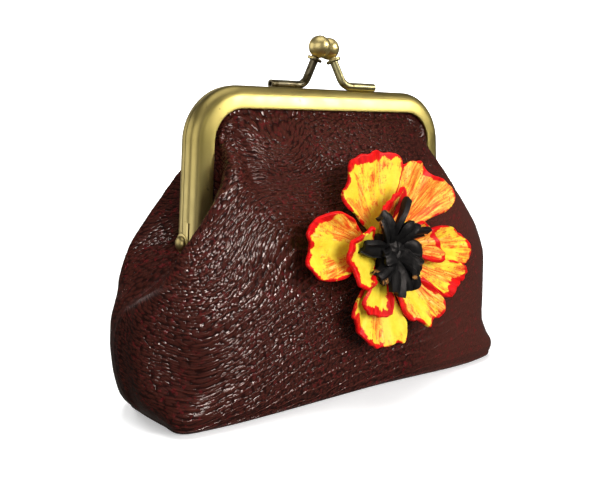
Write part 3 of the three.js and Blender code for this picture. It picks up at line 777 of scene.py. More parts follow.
# Grey for the rubbed base and seams, and a painted highlight along the lip of each side ledge.
rubbed_grey_and_lip_highlight = hide.mix(hide.times(wear, hide.levels(cloud, 0.4, 0.6, 0.1, 0.7)), base, (0.16, 0.13, 0.125))
gloss = hide.levels(height, 0.1, 0.5, 0.2, 0.12)
skin = hide.bump(fine, 0.5, 0.00018)
skin = hide.bump(height, 1.0, 0.0008, skin)
burgundy_leather = hide.wear(Base_Color=rubbed_grey_and_lip_highlight, Roughness=gloss, Normal=skin)
print("leather finish of", len(hide.nodes), "nodes")


# %% Suede and cut edge
def raw_hide(name, roughness, scale, dark, pale):
    raw = Finish(name, Roughness=roughness)
    nap = raw.noise(raw.place(), scale, 4.0)
    return raw.wear(Base_Color=raw.ramp(nap, (0.3, dark), (0.7, pale)), Normal=raw.bump(nap, 0.5, 0.0002))


suede_inside = raw_hide("suede", 0.92, 1400.0, (0.045, 0.02, 0.017), (0.075, 0.036, 0.03))
cut_edge = raw_hide("cut_edge", 0.8, 1100.0, (0.03, 0.012, 0.01), (0.07, 0.035, 0.03))
for panel in (front_leather, back_leather):
    for slot, finish in enumerate((burgundy_leather, suede_inside, cut_edge)):
        panel.data.materials[slot] = finish
print("leather finishes", [m.name for m in front_leather.data.materials])

# %% [markdown]
# ## Frame: one half of the arch
# The frame is pressed from brass strip: a channel that grips the leather, with a rounded outer edge, a crisp
# line and a slightly domed face. It is the path of one cross-section, so the section is drawn once, extruded
# up the leg, spun round the corner, extruded along the top, spun and extruded down again.

# %% Section of the channel
CHANNEL = [  # inwards from the outer edge, depth from the meeting plane
    (0.3, 0.2), (0.2, 0.32), (0.2, 1.2), (0.3, 2.05), (0.62, 2.95), (1.2, 3.72), (1.95, 4.27), (2.6, 4.58),
    (2.85, 4.68), (3.1, 4.84), (4.2, 5.1), (5.4, 5.32), (6.6, 5.48), (7.5, 5.56), (7.95, 5.53), (8.17, 5.35),
    (8.2, 5.05), (8.1, 4.6), (7.6, 4.46), (3.5, 4.3), (3.2, 4.0), (3.2, 1.9), (3.5, 1.6), (8.0, 1.3),
    (8.2, 1.1), (8.2, 0.4), (8.0, 0.2)]
CORNER_STEPS = 20


def arch_half(name):
    bpy.ops.object.select_all(action="DESELECT")
    bpy.ops.mesh.primitive_circle_add(vertices=len(CHANNEL), radius=1)
    bow = named(name)
    outwards = Vector((math.cos(SIDE_LEAN), 0, math.sin(SIDE_LEAN)))
    rising = Vector((-math.sin(SIDE_LEAN), 0, math.cos(SIDE_LEAN)))
    foot = Vector((side_x(ARCH_END), 0, ARCH_END)) * MM
    for vertex, (inwards, depth) in zip(bow.data.vertices, CHANNEL):
        vertex.co = foot - outwards * inwards * MM - Vector((0, depth * MM, 0))
    centre = Vector((ARC_X, 0, ARC_Z)) * MM
    leg = (centre + outwards * CORNER_RADIUS * MM - foot).dot(rising)
    corner = math.pi / 2 - SIDE_LEAN
    bpy.ops.object.mode_set(mode="EDIT")
    bpy.ops.mesh.select_mode(type="EDGE")
    bpy.ops.mesh.select_all(action="SELECT")
    extrude(rising * leg)
    bpy.ops.mesh.spin(steps=CORNER_STEPS, angle=corner, center=centre, axis=(0, 1, 0))
    extrude((-2 * ARC_X * MM, 0, 0))
    bpy.ops.mesh.spin(steps=CORNER_STEPS, angle=corner, center=(-centre.x, 0, centre.z), axis=(0, 1, 0))
    extrude((rising.x * leg, 0, -rising.z * leg))
    for end in (1, -1):
        pick(bow, "EDGE", lambda edge: edge.is_boundary and end * edge.verts[0].co.x > 0)
        bpy.ops.mesh.edge_face_add()
    close_mesh()
    return bow


front_bow = arch_half("front_bow")
print(count(front_bow), [round(v / MM, 1) for v in front_bow.dimensions])

# %% [markdown]
# ## Frame: ears of the hinge
# Each half ends in a flat round ear at both feet, and the ears of the two halves lie side by side on a rivet.
# An ear is a bevelled disc with a strap that runs up into the channel. The channel makes room round the rivet
# for the other half's ear, so the ears are joined on and the rooms are cut away with Boolean modifiers. The
# back half is the mirror image of the front one, with its ears further in.

# %% Ear plates
EAR_THICK, EAR_RADIUS, EAR_HOLE, ROOM = 1.0, 3.4, 1.35, 0.3
EAR_STRAP_TOP, EAR_STRAP_DEEP, EAR_STRAP_Y = 7.0, 3, -1.9


def round_bar(name, radius, from_x, to_x, sides=40):
    bpy.ops.object.select_all(action="DESELECT")
    bpy.ops.mesh.primitive_cylinder_add(
        vertices=sides, radius=radius * MM, depth=abs(to_x - from_x) * MM, rotation=(0, math.pi / 2, 0),
        location=((from_x + to_x) / 2 * MM, 0, HINGE_Z * MM))
    bar = named(name)
    bpy.ops.object.transform_apply(location=True, rotation=True, scale=True)
    return bar


def combine(piece, other, how):
    for mesh in (piece.data, other.data):
        mesh.transform(Matrix.Scale(1 / MM, 4))
    modify(piece, "BOOLEAN", operation=how, object=other, solver="MANIFOLD")
    piece.data.transform(Matrix.Scale(MM, 4))
    bpy.data.objects.remove(other, do_unlink=True)


def ear_plate(side, inset):
    outer = side * (HALF_WIDTH_HINGE - inset)
    inner = outer - side * EAR_THICK
    disc = round_bar("ear", EAR_RADIUS, outer, inner)
    middle = (outer + inner) / 2 - side * (0.2 + SIDE_SLOPE * EAR_STRAP_TOP / 2)
    place = (middle * MM, EAR_STRAP_Y * MM, (HINGE_Z + EAR_STRAP_TOP / 2) * MM)
    bpy.ops.mesh.primitive_cube_add(size=1, location=place, rotation=(0, -side * SIDE_LEAN, 0))
    strap = named("strap")
    strap.scale = (EAR_THICK * MM, EAR_STRAP_DEEP * MM, EAR_STRAP_TOP * MM)
    bpy.ops.object.transform_apply(location=True, rotation=True, scale=True)
    combine(disc, strap, "UNION")
    modify(disc, "BEVEL", width=0.18 * MM, segments=2, limit_method="ANGLE", angle_limit=math.radians(50))
    return disc


# %% Ears and rooms
FRONT_EAR_IN, BACK_EAR_IN = 0.2, 1.5
ROOM_OUT, ROOM_IN, ROOM_SPARE = 62, 56.8, 0.05


def add_ears(bow, inset):
    outer = HALF_WIDTH_HINGE - inset
    inner = outer - EAR_THICK
    rooms = ((EAR_RADIUS + ROOM, outer + ROOM_SPARE, ROOM_OUT), (EAR_HOLE, ROOM_OUT, ROOM_IN),
             (EAR_RADIUS + ROOM, inner - ROOM_SPARE, ROOM_IN))
    for side in (1, -1):
        combine(bow, ear_plate(side, inset), "UNION")
        for radius, near, far in rooms:
            combine(bow, round_bar("room", radius, side * near, side * far), "DIFFERENCE")
    only(bow)
    bpy.ops.object.shade_smooth_by_angle(angle=math.radians(28))


def resize_mesh(piece, factors):
    only(piece)
    bpy.ops.object.mode_set(mode="EDIT")
    bpy.ops.mesh.select_all(action="SELECT")
    bpy.ops.transform.resize(value=factors, center_override=(0, 0, 0))
    close_mesh()


add_ears(front_bow, FRONT_EAR_IN)
back_bow = arch_half("back_bow")
add_ears(back_bow, BACK_EAR_IN)
resize_mesh(back_bow, (1, -1, 1))
print(count(front_bow), count(back_bow))


# %% [markdown]
# ## Brass finish
# The brass is bright on its faces and olive on its rolled outer edge. How far a point lies in from
# the outer edge of the arch is painted on the mesh, so the finish can tone down the rolled edge and draw fine
# brush lines along the bars. Small dark specks lie all over. The lower ends of the legs are made paler, a
# painted light that makes up for the dark leather they mirror.

# %% Paint the distance from the edge
def inwards_of(points):
    x, z = np.abs(points[:, 0]), points[:, 2]
    leg = (side_x(z) - x) * math.cos(SIDE_LEAN)
    arc = CORNER_RADIUS - np.hypot(x - ARC_X, z - ARC_Z)
    return np.where(z < ARC_Z, leg, np.where(x < ARC_X, ARCH_TOP - z, arc))


for bow in (front_bow, back_bow):
    inwards = inwards_of(mesh_points(bow) / MM)
    paint(bow, "inwards", np.clip(inwards / 10, 0, 1))
    print(bow.name, "reaches inwards, mm:", round(float(inwards.max()), 1))


# %% Brass finishes
def brass(name, bright, stain, stain_from, olive=None, painted_light_legs=None, satin=(0.32, 0.48)):
    olive, painted_light_legs = olive or bright, painted_light_legs or bright
    metal = Finish(name, Metallic=1.0)
    spot = metal.place()
    inwards = metal.painted("inwards")
    patch = metal.noise(spot, 160.0, 5.0, 0.65)
    grain = metal.noise(spot, 2600.0, 2.0)
    lines = metal.node("CombineXYZ", {"X": inwards}).outputs[0]
    brush = metal.noise(lines, 120.0, 2.0)
    rolled = metal.levels(inwards, 0.24, 0.3)
    tone = metal.mix(rolled, olive, bright)
    tone = metal.mix(metal.times(metal.levels(brush, 0.35, 0.75), 0.18), tone, olive)
    high = metal.node("SeparateXYZ", {"Vector": spot}).outputs["Z"]
    # Painted light: the lower ends of the legs are given the paler colour.
    tone = metal.mix(metal.levels(high, 0.09, 0.062, 0.0, 0.75), tone, painted_light_legs)
    dirt = metal.levels(metal.noise(spot, 420.0, 3.0), stain_from, stain_from + 0.1)
    tone = metal.mix(dirt, tone, stain)
    rough = metal.levels(patch, 0.3, 0.75, *satin)
    return metal.wear(Base_Color=tone, Roughness=rough, Normal=metal.bump(grain, 0.12, 0.00004))


# The paler colour for the lower legs is a painted light.
bow_brass = brass("antique_brass", (0.56, 0.445, 0.13), (0.2, 0.15, 0.05), 0.68,
                  olive=(0.42, 0.33, 0.11), painted_light_legs=(0.7, 0.57, 0.24))
for bow in (front_bow, back_bow):
    bow.data.materials.clear()
    bow.data.materials.append(bow_brass)
print("brass on", front_bow.name, back_bow.name)

# %% [markdown]
# ## Rivets
# The rivets that the frame turns on show a small dome outside the ears and a flat foot inside. A sphere is
# cut in half and flattened to the dome, and its flat side is inset and extruded to the shaft and the foot.
# The left rivet is a mirrored copy.

# %% Right rivet
DOME_RADIUS, DOME_HEIGHT, DOME_AT = 2.6, 1.6, 61.1
SHAFT_INSET, SHAFT_LENGTH, FOOT_FLARE, FOOT_THICK = 1.6, 2.9, 1.8, 0.7


def right_rivet():
    bpy.ops.object.select_all(action="DESELECT")
    bpy.ops.mesh.primitive_uv_sphere_add(segments=36, ring_count=18, radius=DOME_RADIUS * MM,
                                         rotation=(0, math.pi / 2, 0))
    rivet = named("right_dome_rivet")
    bpy.ops.object.transform_apply(location=True, rotation=True, scale=True)
    bpy.ops.object.mode_set(mode="EDIT")
    bpy.ops.mesh.select_all(action="SELECT")
    bpy.ops.mesh.bisect(plane_co=(0, 0, 0), plane_no=(1, 0, 0), use_fill=True, clear_inner=True)
    bpy.ops.mesh.select_all(action="SELECT")
    bpy.ops.transform.resize(value=(DOME_HEIGHT / DOME_RADIUS, 1, 1), center_override=(0, 0, 0))
    pick(rivet, "FACE", lambda face: face.normal.x < -0.99)
    bpy.ops.mesh.inset(thickness=SHAFT_INSET * MM)
    extrude((-SHAFT_LENGTH * MM, 0, 0))
    extrude((0, 0, 0))
    bpy.ops.transform.resize(value=(1, FOOT_FLARE, FOOT_FLARE), center_override=(-SHAFT_LENGTH * MM, 0, 0))
    extrude((-FOOT_THICK * MM, 0, 0))
    bpy.ops.mesh.select_all(action="SELECT")
    bpy.ops.transform.translate(value=(DOME_AT * MM, 0, HINGE_Z * MM))
    close_mesh()
    bpy.ops.object.shade_smooth_by_angle(angle=math.radians(35))
    return rivet


right_dome = right_rivet()
print(count(right_dome))


# %% Left rivet and finish
def copied(piece, name):
    twin = piece.copy()
    twin.data = piece.data.copy()
    twin.name = twin.data.name = name
    bpy.context.collection.objects.link(twin)
    return twin


left_dome = copied(right_dome, "left_dome_rivet")
resize_mesh(left_dome, (-1, 1, 1))
rivet_brass = brass("rivet_brass", (0.42, 0.33, 0.13), (0.1, 0.075, 0.03), 0.56)
for dome in (left_dome, right_dome):
    dome.data.materials.append(rivet_brass)
print(count(left_dome), "in", rivet_brass.name)

# %% [markdown]
# ## Kiss lock
# Each half carries a bent rod that lies on the top of the frame, rises across the middle and ends in a ball
# with a collar below it. The two balls snap past each other. The rod is a circle that is extruded along the
# frame, spun round its bend and extruded up into the ball. Its free end is hollow, as the real tube is. The
# back lock is the front one, turned half round.

# %% Bent rod
ROD, BALL, COLLAR, COLLAR_THICK = 1.5, 4.0, 2.75, 0.9
FOOT_END, BEND = Vector((22.8, -2.3, 109.9)), Vector((7.6, -2.3, 109.9))
BALL_AT = Vector((3.6, 1.75, 123.55))
RISE = (BALL_AT - BEND).normalized()
BEND_RUN, COLLAR_DROP, HOLLOW = 3.0, 4.7, 1.6


def bent_rod(name):
    level = Vector((-1, 0, 0))
    turn = math.acos(level.dot(RISE))
    bend_radius = BEND_RUN / math.tan(turn / 2)
    towards = (RISE - level * level.dot(RISE)).normalized()
    bpy.ops.object.select_all(action="DESELECT")
    bpy.ops.mesh.primitive_circle_add(vertices=28, radius=ROD * MM, rotation=(0, math.pi / 2, 0),
                                      location=FOOT_END * MM)
    rod = named(name)
    bpy.ops.object.transform_apply(location=True, rotation=True, scale=True)
    start = BEND - level * BEND_RUN
    run = (BALL_AT - BEND).length - BEND_RUN
    bpy.ops.object.mode_set(mode="EDIT")
    bpy.ops.mesh.select_mode(type="EDGE")
    bpy.ops.mesh.select_all(action="SELECT")
    extrude((start - FOOT_END) * MM)
    axis = level.cross(RISE).normalized()
    bpy.ops.mesh.spin(steps=14, angle=turn, center=(start + towards * bend_radius) * MM, axis=-axis)
    extrude(RISE * run * MM)
    bpy.ops.mesh.edge_face_add()
    pick(rod, "EDGE", lambda edge: edge.is_boundary)
    bpy.ops.mesh.edge_face_add()
    bpy.ops.mesh.select_mode(type="FACE")
    bpy.ops.mesh.inset(thickness=0.3 * MM)
    bpy.ops.mesh.inset(thickness=0.35 * MM)
    extrude((-HOLLOW * MM, 0, 0))
    close_mesh()
    return rod


front_rod = bent_rod("front_kiss_rod")
print(count(front_rod), [round(v / MM, 1) for v in front_rod.dimensions])


# %% Collar and ball on the rod
BALL_FLAT_FROM = -0.93 * BALL


def along_rise(piece, middle):
    turn = Vector((0, 0, 1)).rotation_difference(RISE)
    piece.data.transform(Matrix.Translation(middle * MM) @ turn.to_matrix().to_4x4())


def kiss_lock(rod):
    bpy.ops.object.select_all(action="DESELECT")
    bpy.ops.mesh.primitive_uv_sphere_add(segments=40, ring_count=24, radius=BALL * MM)
    ball = named("ball")
    bpy.ops.object.mode_set(mode="EDIT")
    pick(ball, "VERT", lambda vertex: vertex.co.z < BALL_FLAT_FROM * MM)
    bpy.ops.transform.resize(value=(1, 1, 0.2), center_override=(0, 0, BALL_FLAT_FROM * MM))
    bpy.ops.object.mode_set(mode="OBJECT")
    along_rise(ball, BALL_AT)
    bpy.ops.object.select_all(action="DESELECT")
    bpy.ops.mesh.primitive_cylinder_add(vertices=40, radius=COLLAR * MM, depth=COLLAR_THICK * MM)
    collar = named("collar")
    bpy.ops.object.mode_set(mode="EDIT")
    pick(collar, "FACE", lambda face: abs(face.normal.z) > 0.9)
    bpy.ops.mesh.inset(thickness=0.5 * MM)
    bpy.ops.transform.resize(value=(1, 1, 1.25), center_override=(0, 0, 0))
    bpy.ops.object.mode_set(mode="OBJECT")
    modify(collar, "BEVEL", width=0.22 * MM, segments=3, limit_method="ANGLE", angle_limit=math.radians(40))
    along_rise(collar, BALL_AT - RISE * COLLAR_DROP)
    only(rod, ball, collar)
    bpy.ops.object.join()
    bpy.ops.object.shade_smooth_by_angle(angle=math.radians(35))


kiss_lock(front_rod)
back_rod = copied(front_rod, "back_kiss_rod")
resize_mesh(back_rod, (-1, -1, 1))
print(count(front_rod), count(back_rod))

# %% Kiss lock finish
BALL_FROM = BALL_AT.z - 4.2
ball_brass = brass("ball_brass", (0.82, 0.66, 0.28), (0.36, 0.27, 0.11), 0.62, satin=(0.35, 0.45))
front_lock_brass = brass("lock_brass", (0.4, 0.35, 0.17), (0.15, 0.11, 0.04), 0.58)
# Painted shade: the back rod is the same brass as the front rod, given a darker colour.
shaded_back_lock_brass = brass("shaded_lock_brass", (0.15, 0.125, 0.075), (0.06, 0.045, 0.02), 0.53)
for rod, finish in ((front_rod, front_lock_brass), (back_rod, shaded_back_lock_brass)):
    rod.data.materials.append(finish)
    rod.data.materials.append(ball_brass)
    for face in rod.data.polygons:
        face.material_index = 1 if face.center.z > BALL_FROM * MM else 0
print("lock finishes", [m.name for m in front_rod.data.materials])

# %% [markdown]
# ## Flower: where it sits
# The flower is glued to the front a little right of the middle, and leans back with the leather. Its pieces
# are drawn flat, with the way out of the leather as their height, and then set in place by one matrix.

# %% Flower frame and pad
TILT = math.radians(8)
FLOWER = Matrix(((1, 0, 0, 4),
                 (0, math.sin(TILT), -math.cos(TILT), -24.1),
                 (0, math.cos(TILT), math.sin(TILT), 51.5),
                 (0, 0, 0, 1)))
PAD_RADIUS, PAD_THICK, PAD_MIDDLE, PAD_ROUND = 6.4, 2.3, 1.45, 0.7


def set_in_flower(piece):
    grown = Matrix.Diagonal((1 / MM, 1 / MM, 1 / MM, 1))
    piece.data.transform(grown.inverted() @ FLOWER @ grown)
    piece.data.update()


bpy.ops.object.select_all(action="DESELECT")
bpy.ops.mesh.primitive_cylinder_add(vertices=40, radius=PAD_RADIUS * MM, depth=PAD_THICK * MM,
                                    location=(0, 0, PAD_MIDDLE * MM))
clay_pad = named("clay_pad")
bpy.ops.object.transform_apply(location=True, rotation=True, scale=True)
modify(clay_pad, "BEVEL", width=PAD_ROUND * MM, segments=4, limit_method="ANGLE",
       angle_limit=math.radians(40))
bpy.ops.object.shade_smooth_by_angle(angle=math.radians(35))
set_in_flower(clay_pad)
print(count(clay_pad))

# %% [markdown]
# ## Flower: petals
# Each petal is a thin sheet of clay that is pressed out from a narrow root to a wavy rim, a little cupped and
# ruffled. A grid is bent to that shape, given its thickness and rounded with a subdivision. Where the dabs of
# red reach and how much orange there is are painted on the points, for the finish to read.

# %% Petal shapes
PETALS = {  # angles of the two sides, rim radii between them, red widths between them, share of orange
    "clay_petal_1": (142, 72, (27, 28.8, 30, 33, 35, 35, 34.2, 35.3, 33.5, 33.6, 32),
        (0.1, 0.9, 3.0, 2.2, 0.3), 0.4),
    "clay_petal_2": (77, 19, (29, 31.5, 33.5, 35.8, 35.7, 35.2, 37, 39.5, 40, 38.6, 35.5),
        (1.5, 0.3, 1.5, 0.2, 0.1), 0.8),
    "clay_petal_3": (14, -15, (27, 31, 34.8, 37, 39.5, 42, 43.4, 43.6, 43, 42, 38.5),
        (1, 0.8, 1.4, 0.7, 0.4), 0.55),
    "clay_petal_4": (-12, -40, (36, 39.3, 40.5, 40.4, 40, 38.6, 37, 37, 36.9, 34.6, 30),
        (0.5, 2, 4.5, 3, 0.8), 0.55),
    "clay_petal_5": (-37, -85, (25.5, 32.5, 35, 35, 33.6, 34.2, 31, 28.5, 26.8, 25, 22),
        (1.5, 0.8, 0.5, 1.5, 3.5), 0.75),
    "clay_petal_6": (-77, -139, (31, 34.2, 33.2, 33.6, 34.5, 34.6, 33.4, 32.4, 30, 29.8, 27),
        (0.1, 0.4, 1.2, 2, 1), 0.35),
    "clay_petal_7": (200, 145, (27, 32.5, 37.3, 38.8, 37, 36.8, 39, 36.5, 34.2, 30, 25),
        (0.8, 0.9, 1.5, 2.6, 1.0), 0.85),
    "clay_inner_petal_1": (220, 146, (21, 23.2, 24.2, 23.8, 23.5, 25.6, 24.8, 23, 19.5, 18, 18.5),
        (0.8, 1.4, 1.8, 1.4, 0.8), 0.4),
    "clay_inner_petal_2": (-98, -140, (20, 23.2, 23.8, 24.2, 24.8, 25.2, 25.6, 26, 25.7, 25, 22),
        (2.8, 2.2, 2.8, 1.8, 0.8), 0.15),
    "clay_inner_petal_3": (38, -22, (14, 16.3, 17.6, 19, 20.2, 21.2, 22.2, 22.8, 25, 24.5, 19),
        (0.8, 0.6, 1.2, 0.9, 1.5), 0.95),
    "clay_inner_petal_4": (120, 71, (15, 16, 16.4, 16.8, 17.2, 18, 19, 20, 21, 21.6, 20.5),
        (2.5, 2.2, 2.5, 2.5, 2), 0.95)}
LIFTS = {  # root, tip, cup, waves, ruffle
    "clay_petal_1": (3, 7, 1.5, 3, 0.8), "clay_petal_2": (3, 6.5, 1.5, 3, 0.8),
    "clay_petal_3": (3, 6, 0.8, 2, 0.6), "clay_petal_4": (3, 7, 0.8, 2, 0.6),
    "clay_petal_5": (3, 7.5, 1, 2, 0.6), "clay_petal_6": (3, 5.5, 1.5, 3, 0.8),
    "clay_petal_7": (3, 8, 2, 3, 0.8), "clay_inner_petal_1": (4.9, 12.5, 2, 3, 0.5),
    "clay_inner_petal_2": (4.9, 9.5, 1, 2, 0.4), "clay_inner_petal_3": (4.9, 10, 1.2, 2, 0.4),
    "clay_inner_petal_4": (4.9, 11.5, 1, 2, 0.4)}
PETAL_ROOT, PETAL_THICK = 5.5, 1.3


def rim_curve(values, a):
    return smooth_through(np.linspace(-1, 1, len(values)), np.array(values, float), a)


def clay_petal(name, first, last, rims, reds, orange, seed):
    root, tip, cup, waves, ruffle = LIFTS[name]
    bpy.ops.object.select_all(action="DESELECT")
    bpy.ops.mesh.primitive_grid_add(x_subdivisions=40, y_subdivisions=20, size=2)
    petal = named(name)
    flat = mesh_points(petal)
    a, t = flat[:, 0], 1 - (1 - (flat[:, 1] + 1) / 2) ** 1.35
    rim = rim_curve(rims, a) + 1.1 * soft_noise(a * 8 + seed, 0 * a + seed, 5)
    rim = rim - 4.0 * np.clip((np.abs(a) - 0.82) / 0.18, 0, 1) ** 3
    radius = PETAL_ROOT + t * (rim - PETAL_ROOT)
    middle, half = (first + last) / 2, (first - last) / 2
    wide = half * (0.7 + 0.3 * t ** 0.7 + 0.09 * soft_noise(t * 4 + seed, np.sign(a), 8))
    turn = np.radians(middle - wide * a)
    lift = root + (tip - root) * t ** 1.3 + cup * a * a * t + ruffle * np.sin(waves * np.pi * a) * t * t
    lift = lift + 0.7 * soft_noise(a * 5 + seed, t * 1.2, 9) * t
    lift = lift + 0.5 * soft_noise(a * 12 + seed, t * 1.1, 10) * t
    set_points(petal, np.stack([radius * np.cos(turn), radius * np.sin(turn), lift], 1))
    dab = rim_curve(reds, a) + 2.0 * soft_noise(a * 9 + seed, 0 * a, 62)
    from_side = (1 - np.abs(a)) * np.radians(half) * radius
    side_dab = np.where(a < 0, reds[0], reds[-1])
    side_dab = side_dab + 1.6 * soft_noise(t * 5 + 3 * seed, np.sign(a) + seed, 63)
    side_dab = side_dab * smooth_step(t, 0.3, 0.75) - 0.4
    red = np.maximum(dab - (1 - t) * (rim - PETAL_ROOT), side_dab - from_side)
    tint = np.clip(orange + 1.2 * soft_noise(a * 1.6 + seed, t * 1.8 + seed, 64), 0, 1)
    fields = {"across": a, "along": t, "red": np.clip(red / 10 + 0.5, 0, 1), "tint": tint,
              "own": 0 * a + seed / len(PETALS)}
    for label, field in fields.items():
        paint(petal, label, field)
    modify(petal, "SOLIDIFY", thickness=PETAL_THICK * MM, offset=1)
    modify(petal, "SUBSURF", levels=1, render_levels=1)
    bpy.ops.object.shade_smooth_by_angle(angle=math.radians(75))
    set_in_flower(petal)
    return petal


clay_petals = [clay_petal(name, *shape, seed) for seed, (name, shape) in enumerate(PETALS.items(), 1)]
print(count(clay_petals[0]), "and", len(clay_petals), "petals")

# %% [markdown]
# The petals are yellow clay with orange and pale strokes from the root outwards, specks of dark orange, and a
# rim that was dabbed with red. The strokes are noise drawn out along the petal.

# %% Petal finish
clay = Finish("painted_petal_clay", Specular_IOR_Level=0.15)
spot = clay.place()
PETAL_PAINTS = ("across", "along", "red", "tint", "own")
across, along, red, tint, own = (clay.painted(name) for name in PETAL_PAINTS)
drawn_out = {"X": across, "Y": clay.times(along, 0.25), "Z": clay.times(own, 9.0)}
stroke_place = clay.node("CombineXYZ", drawn_out).outputs[0]
thin_stroke = clay.noise(stroke_place, 15.0, 4.0, 0.62)
scrape = clay.noise(stroke_place, 9.0, 3.0, 0.7)
blotch = clay.noise(spot, 200.0, 5.0, 0.7)
speck = clay.noise(spot, 1500.0, 2.0, 0.5)
ragged = clay.noise(spot, 300.0, 4.0, 0.65)
yellow = clay.ramp(ragged, (0.3, (0.66, 0.46, 0.022)), (0.7, (0.76, 0.6, 0.05)))
orange = clay.ramp(thin_stroke, (0.36, (0.58, 0.045, 0.008)), (0.46, (0.66, 0.17, 0.02)),
                   (0.56, (0.7, 0.35, 0.04)), (0.68, (0.76, 0.56, 0.13)))
cover = clay.plus(tint, clay.levels(blotch, 0.3, 0.7, -0.4, 0.4))
cover = clay.plus(cover, clay.levels(scrape, 0.3, 0.7, -0.25, 0.25))
tinted = clay.mix(clay.levels(cover, 0.52, 0.8), yellow, orange)
dots = clay.times(clay.levels(speck, 0.58, 0.66), clay.levels(cover, 0.4, 0.75))
specked = clay.mix(dots, tinted, (0.5, 0.1, 0.015))
edge = clay.plus(red, clay.levels(blotch, 0.3, 0.7, -0.12, 0.12))
scarlet = clay.ramp(thin_stroke, (0.3, (0.4, 0.003, 0.004)), (0.7, (0.68, 0.007, 0.007)))
painted_clay = clay.wear(Base_Color=clay.mix(clay.levels(edge, 0.485, 0.515), specked, scarlet),
                         Roughness=clay.levels(ragged, 0.3, 0.7, 0.32, 0.55),
                         Normal=clay.bump(thin_stroke, 0.4, 0.0004))
for petal in (*clay_petals, clay_pad):
    petal.data.materials.append(painted_clay)
print("petal finish", painted_clay.name)

# %% [markdown]
# ## Flower: centre
# The middle is black clay: a folded hub with twisted tongues that reach out over the petals and end square.
# One grid bends along each tongue, twists and gets its thickness, and the hub is a flattened ball with spiral
# folds.

# %% Tongues of black clay
TONGUE_ROOT, TONGUE_THICK = 8, 1.9
TONGUES = (  # angle at the root and the tip, reach, lift, half width, roll at the root and the tip
    (112, 78, 17.5, 14.5, 2.4, 10, 55), (140, 128, 15, 13.5, 2.8, -30, 20), (55, 22, 13.5, 13.2, 2.6, 30, 70),
    (185, 173, 18, 13, 2.6, 20, -45), (232, 218, 15, 13, 2.5, -20, 30), (250, 254, 16, 13.2, 3.4, 25, -10),
    (278, 286, 15, 13, 3.2, -15, 25), (345, 338, 9.8, 12.5, 4.2, 20, -25), (90, 60, 9, 15, 2.6, -30, 10),
    (205, 195, 9.5, 14.6, 2.8, 30, 0), (310, 300, 10.5, 14.4, 3, 20, -20))


def tongue(seed, root_angle, tip_angle, reach, lift, half_width, root_roll, tip_roll):
    bpy.ops.object.select_all(action="DESELECT")
    bpy.ops.mesh.primitive_grid_add(x_subdivisions=8, y_subdivisions=14, size=2)
    strip = named("tongue")
    flat = mesh_points(strip)
    a, t = flat[:, 0], (flat[:, 1] + 1) / 2
    swell = 0.7 + 0.45 * np.sin(np.pi * (0.1 + 0.62 * t))
    half = half_width * (swell + 0.5 * soft_noise(t * 4 + seed, np.sign(a), 51))
    roll = np.radians(root_roll + (tip_roll - root_roll) * t)
    arch = np.sin(t * np.pi * 0.6) / math.sin(0.6 * np.pi)
    height = TONGUE_ROOT + (lift - TONGUE_ROOT) * arch + 1.2 * soft_noise(t * 3, 0 * a + seed, 52)
    fold = 0.8 * (np.abs(a) - 0.5) + 0.45 * np.cos(5 * a + 2 * t + seed)
    fold = fold + 0.8 * soft_noise(a * 2 + seed, t * 3, 54)
    side = half * a * np.cos(roll) - fold * np.sin(roll)
    height = height + half * a * np.sin(roll) + fold * np.cos(roll)
    out = 1 + (reach - 1) * t + 1.4 * soft_noise(a * 3 + seed, 0 * t, 53) * t
    turn = np.radians(root_angle + (tip_angle - root_angle) * t)
    x, y = out * np.cos(turn) - side * np.sin(turn), out * np.sin(turn) + side * np.cos(turn)
    set_points(strip, np.stack([x, y, height], 1))
    paint(strip, "tip", np.where(seed % 3 == 2, np.clip(np.abs(a) * t * 1.1, 0, 1), 0 * t))
    modify(strip, "SOLIDIFY", thickness=TONGUE_THICK * MM, offset=0)
    modify(strip, "BEVEL", width=0.3 * MM, segments=1, limit_method="ANGLE", angle_limit=math.radians(60))
    modify(strip, "SUBSURF", levels=1, render_levels=1)
    return strip


strips = [tongue(seed, *shape) for seed, shape in enumerate(TONGUES, 1)]
print(len(strips), "tongues", count(strips[0]))

# %% Hub of the centre
HUB_SIZE, HUB_MIDDLE = (7.2, 7.2, 5.0), (0, 0, 7.2)
bpy.ops.object.select_all(action="DESELECT")
bpy.ops.mesh.primitive_uv_sphere_add(segments=48, ring_count=24, radius=1)
clay_centre = named("clay_centre")
ball = mesh_points(clay_centre)
from_axis = np.hypot(ball[:, 0], ball[:, 1])
spin = np.arctan2(ball[:, 1], ball[:, 0]) * 5 + 6 * from_axis
swell = 1 + 0.16 * np.cos(spin) * from_axis + 0.25 * soft_noise(3 * ball[:, 0], 3 * ball[:, 1], 57)
set_points(clay_centre, ball * swell[:, None] * HUB_SIZE + HUB_MIDDLE)
paint(clay_centre, "tip", np.zeros(len(ball)))
only(clay_centre, *strips)
bpy.ops.object.join()
bpy.ops.object.shade_smooth_by_angle(angle=math.radians(60))
set_in_flower(clay_centre)
print(count(clay_centre))

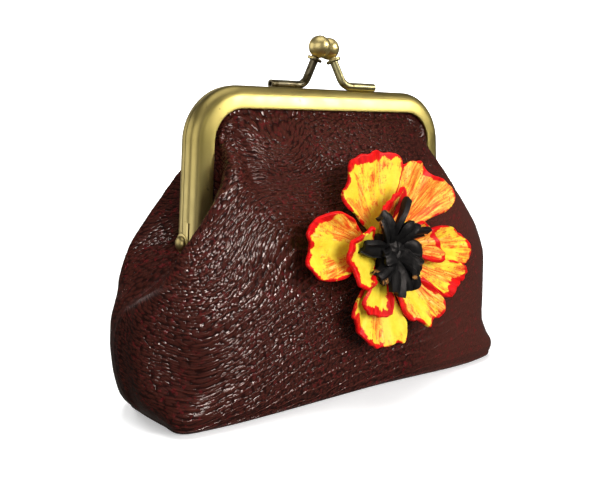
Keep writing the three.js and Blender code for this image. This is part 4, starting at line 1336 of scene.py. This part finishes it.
# %% Black clay finish
black = Finish("black_clay", Specular_IOR_Level=0.22)
press = black.noise(black.place(), 700.0, 4.0, 0.6)
soot = black.ramp(press, (0.3, (0.002, 0.002, 0.0022)), (0.75, (0.008, 0.0077, 0.0075)))
tip = black.times(black.levels(black.painted("tip"), 0.9, 1.0), black.levels(press, 0.45, 0.6))
clay_centre.data.materials.append(black.wear(
    Base_Color=black.mix(tip, soot, (0.5, 0.22, 0.06)), Roughness=black.levels(press, 0.3, 0.7, 0.42, 0.62),
    Normal=black.bump(press, 0.4, 0.0003)))
print("black finish on", clay_centre.name)

# %% [markdown]
# ## Assembly
# Each dressed piece takes the place of its plain node and moves with the purse's one body. How far it passes
# its node's box is printed, as a check.

# %% Put the pieces in place of the plain nodes
PLACES = [(front_leather, "front_panel", "leather"), (back_leather, "back_panel", "leather"),
          (front_bow, "front_frame", "brass"), (back_bow, "back_frame", "brass"),
          (left_dome, "left_rivet", "brass"), (right_dome, "right_rivet", "brass"),
          (front_rod, "front_clasp", "brass"), (back_rod, "back_clasp", "brass"),
          (clay_pad, "flower_base", "petal_clay"), (clay_centre, "flower_centre", "centre_clay")]
PLACES += [(petal, petal.name.replace("clay_", ""), "petal_clay") for petal in clay_petals]
for piece, node, slot in PLACES:
    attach(piece, "root")
    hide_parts(node)
    low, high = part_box(node)
    co = mesh_points(piece) / MM
    grown = np.maximum(np.array(low) / MM - co.min(0), co.max(0) - np.array(high) / MM)
    print(count(piece), "past its node, mm:", grown.round(1).tolist())

# %% [markdown]
# ## Black cards
# A photographer holds black cards between a lamp and what it shouldn't light. Light linking does the same
# here: the strips that make the glints reach the leather and the clay alone, and the panels that are there to
# be mirrored reach the brass alone.

# %% Keep lamps off the other pieces
def shine_only_on(lamp, *slots):
    lit = bpy.data.collections.new(lamp.name + "_lit")
    for piece, _, kind in PLACES:
        if kind in slots:
            lit.objects.link(piece)
    lamp.light_linking.receiver_collection = lit


for lamp in (glint_box, back_glint_box):
    shine_only_on(lamp, "leather", "petal_clay", "centre_clay")
for lamp in (bar_box, *room_boxes):
    shine_only_on(lamp, "brass")
